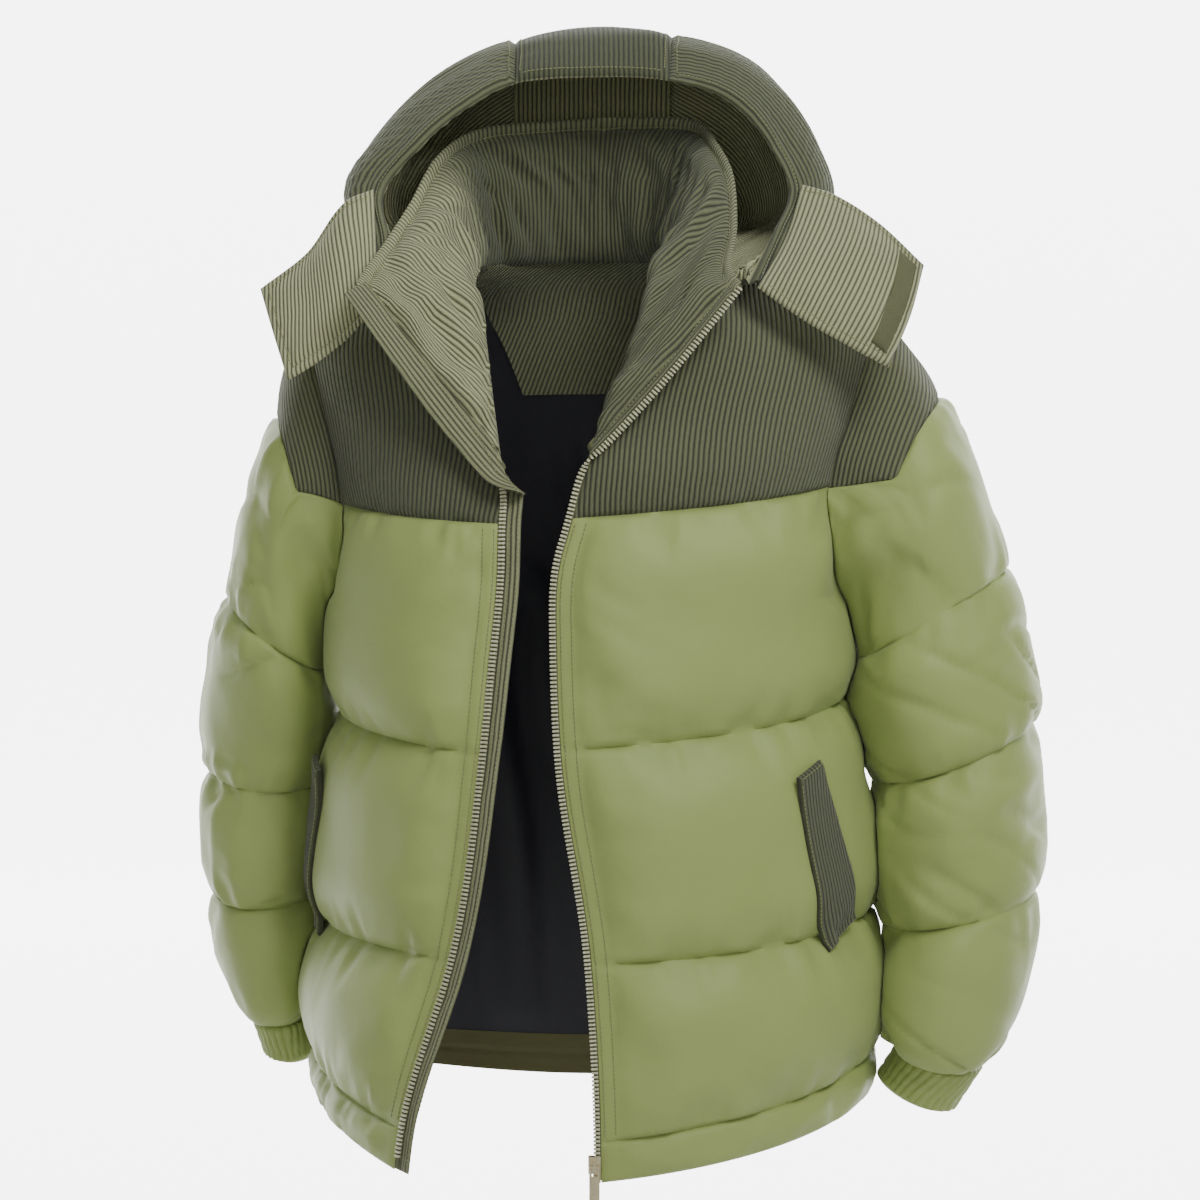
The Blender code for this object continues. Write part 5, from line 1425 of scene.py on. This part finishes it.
def guardStrip(line):
    # the guard's strip is sewn under the right tape and runs up the lapel's edge
    near = groove(line["at"], line["turnAt"], guard["turn"] * mm)
    lift = guard["lift"] * (1 - line["lapel"]) + guard["onLapel"] * line["lapel"]
    lift = lift * (1 - near) + guard["atTurn"] * near
    sewn = guard["sewn"] * (1 - near) + guard["sewnAtTurn"] * near
    strip = []
    for place in np.linspace(0, 1, guard["across"] + 1):
        w = guard["past"] + (sewn - guard["past"]) * place
        way = np.where((w < 0)[:, None], line["into"], line["innerInto"])
        strip.append(line["inner"] + way * (w * mm)[:, None] - line["up"] * (lift * mm)[:, None])
    strip = np.array(strip)
    across, along = runs(strip)
    rolled = edgeRoll(strip, guard["edge"] * mm)
    dents = sum(groove(d, at * mm, 1.1 * mm) for at in guard["rows"] for d in (across, across[-1:] - across))
    rise = guard["thick"] / 2 * rolled + guard["thin"] - guard["dent"] * np.minimum(dents, 1)
    rise += 0.5 * rolled * softNoise(across, along, (14, 18), 801)
    up = line["up"][None]
    centre = strip - up * (guard["thick"] / 2 * mm)
    seen, hidden = raised(centre, -up, rise), raised(centre, up, rise)
    sheetPiece("zip_guard_strip", ["zip_guard"], seen, hidden, strip, cord, "corduroy", "laid",
               ["front_right_body", "collar_padded"], thin=1, nap=guard["nap"])
    for face, ways in ((seen, -line["up"]), (hidden, line["up"])):
        for distance in guard["rows"]:
            for end in (0, 1):
                points = edgeLine(face, 0, end, distance * mm)[0]
                stitchLines.append(((points + ways * thread["lift"])[2:-2], ways[2:-2]))


tooth = toothPiece()
zipLines = {name: zipLine(rows, side) for name, (rows, side) in sides.items()}
for name, (rows, side) in sides.items():
    zipSide(name, side, zipLines[name])
guardStrip(zipLines["right"])
for name, (rows, side) in sides.items():
    for distance in zips["stitches"]:
        stitchAt(outside[f"front_{name}_body"], ((0, 0),), distance * mm, -side, 1, -1)
for name in ("slider", "pull_tab", "zip_box"):
    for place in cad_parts[name].material_slots:
        place.material = sliderMetal
print("zip made")

setAlong("stitching", stitchLines, stitch, thread["pitch"], threadCloth)


# ---- studio and camera

studio = {"floor": -1.2, "white": 0.6, "glow": 5.2, "world": 0.32, "key": 29, "keySize": 1.1, "fill": 16.5,
          "fillSize": 1.4, "top": 12, "topSize": 1.5}


def softLight(name, place, aim, size, power):
    lamp = bpy.data.lights.new(name, "AREA")
    lamp.shape = "DISK"
    lamp.size = size
    lamp.energy = power
    made = inScene(name, lamp)
    made.location = place
    made.rotation_euler = (Vector(aim) - Vector(place)).to_track_quat("-Z", "Y").to_euler()


def paperSweep():
    # a pale floor that curves up into a wall far behind
    width, near, far, radius = 6, -6, 5, 1.5
    line = [(near, 0), (far - radius, 0)]
    line += [(far - radius + radius * math.sin(a), radius * (1 - math.cos(a)))
             for a in np.linspace(0, math.pi / 2, 13)[1:]]
    line.append((far, 6))
    points = [(x, y, z + studio["floor"]) for y, z in line for x in (-width, width)]
    faces = [(2 * i, 2 * i + 1, 2 * i + 3, 2 * i + 2) for i in range(len(line) - 1)]
    mesh = bpy.data.meshes.new("sweep")
    mesh.from_pydata(points, [], faces)
    mesh.shade_smooth()
    made, tree, shader = newMaterial("pale_backdrop_paper")
    shader.inputs["Base Color"].default_value = (studio["white"],) * 3 + (1,)
    shader.inputs["Roughness"].default_value = 0.95
    # the paper behind the jacket is lit by itself, as a separately lit background is
    place = node(tree, "SeparateXYZ", {0: node(tree, "TexCoord").outputs["Object"]}).outputs[1]
    far = node(tree, "MapRange", {"Value": place, "From Min": 0.5, "From Max": 1.6, "To Max": studio["glow"]},
               interpolation_type="SMOOTHSTEP")
    shader.inputs["Emission Color"].default_value = (1, 1, 1, 1)
    tree.links.new(far.outputs[0], shader.inputs["Emission Strength"])
    mesh.materials.append(made)
    inScene("sweep", mesh)


paperSweep()
world = bpy.data.worlds.new("studio")
world.use_nodes = True
background = world.node_tree.nodes["Background"]
background.inputs[0].default_value = (1, 1, 1, 1)
background.inputs[1].default_value = studio["world"]
bpy.context.scene.world = world
for name, place, aim in (("key", (0.9, -1.35, 1.3), (0, 0, -0.05)),
                         ("fill", (-0.25, -3.3, 0.35), (0, 0, 0)),
                         ("top", (0, -0.3, 2.4), (0, 0, -0.25))):
    softLight(name, place, aim, studio[name + "Size"], studio[name])

target = (0.008, 0, -0.262)
view = {"far": 3.2, "down": math.radians(7), "lens": 121.9}
camera = inScene("camera", bpy.data.cameras.new("camera"))
camera.data.lens = view["lens"]
camera.data.sensor_width = 36
away, up = view["far"] * math.cos(view["down"]), view["far"] * math.sin(view["down"])
camera.location = (target[0], -away, target[2] + up)
camera.rotation_euler = (math.radians(90) - view["down"], 0, 0)
bpy.context.scene.camera = camera
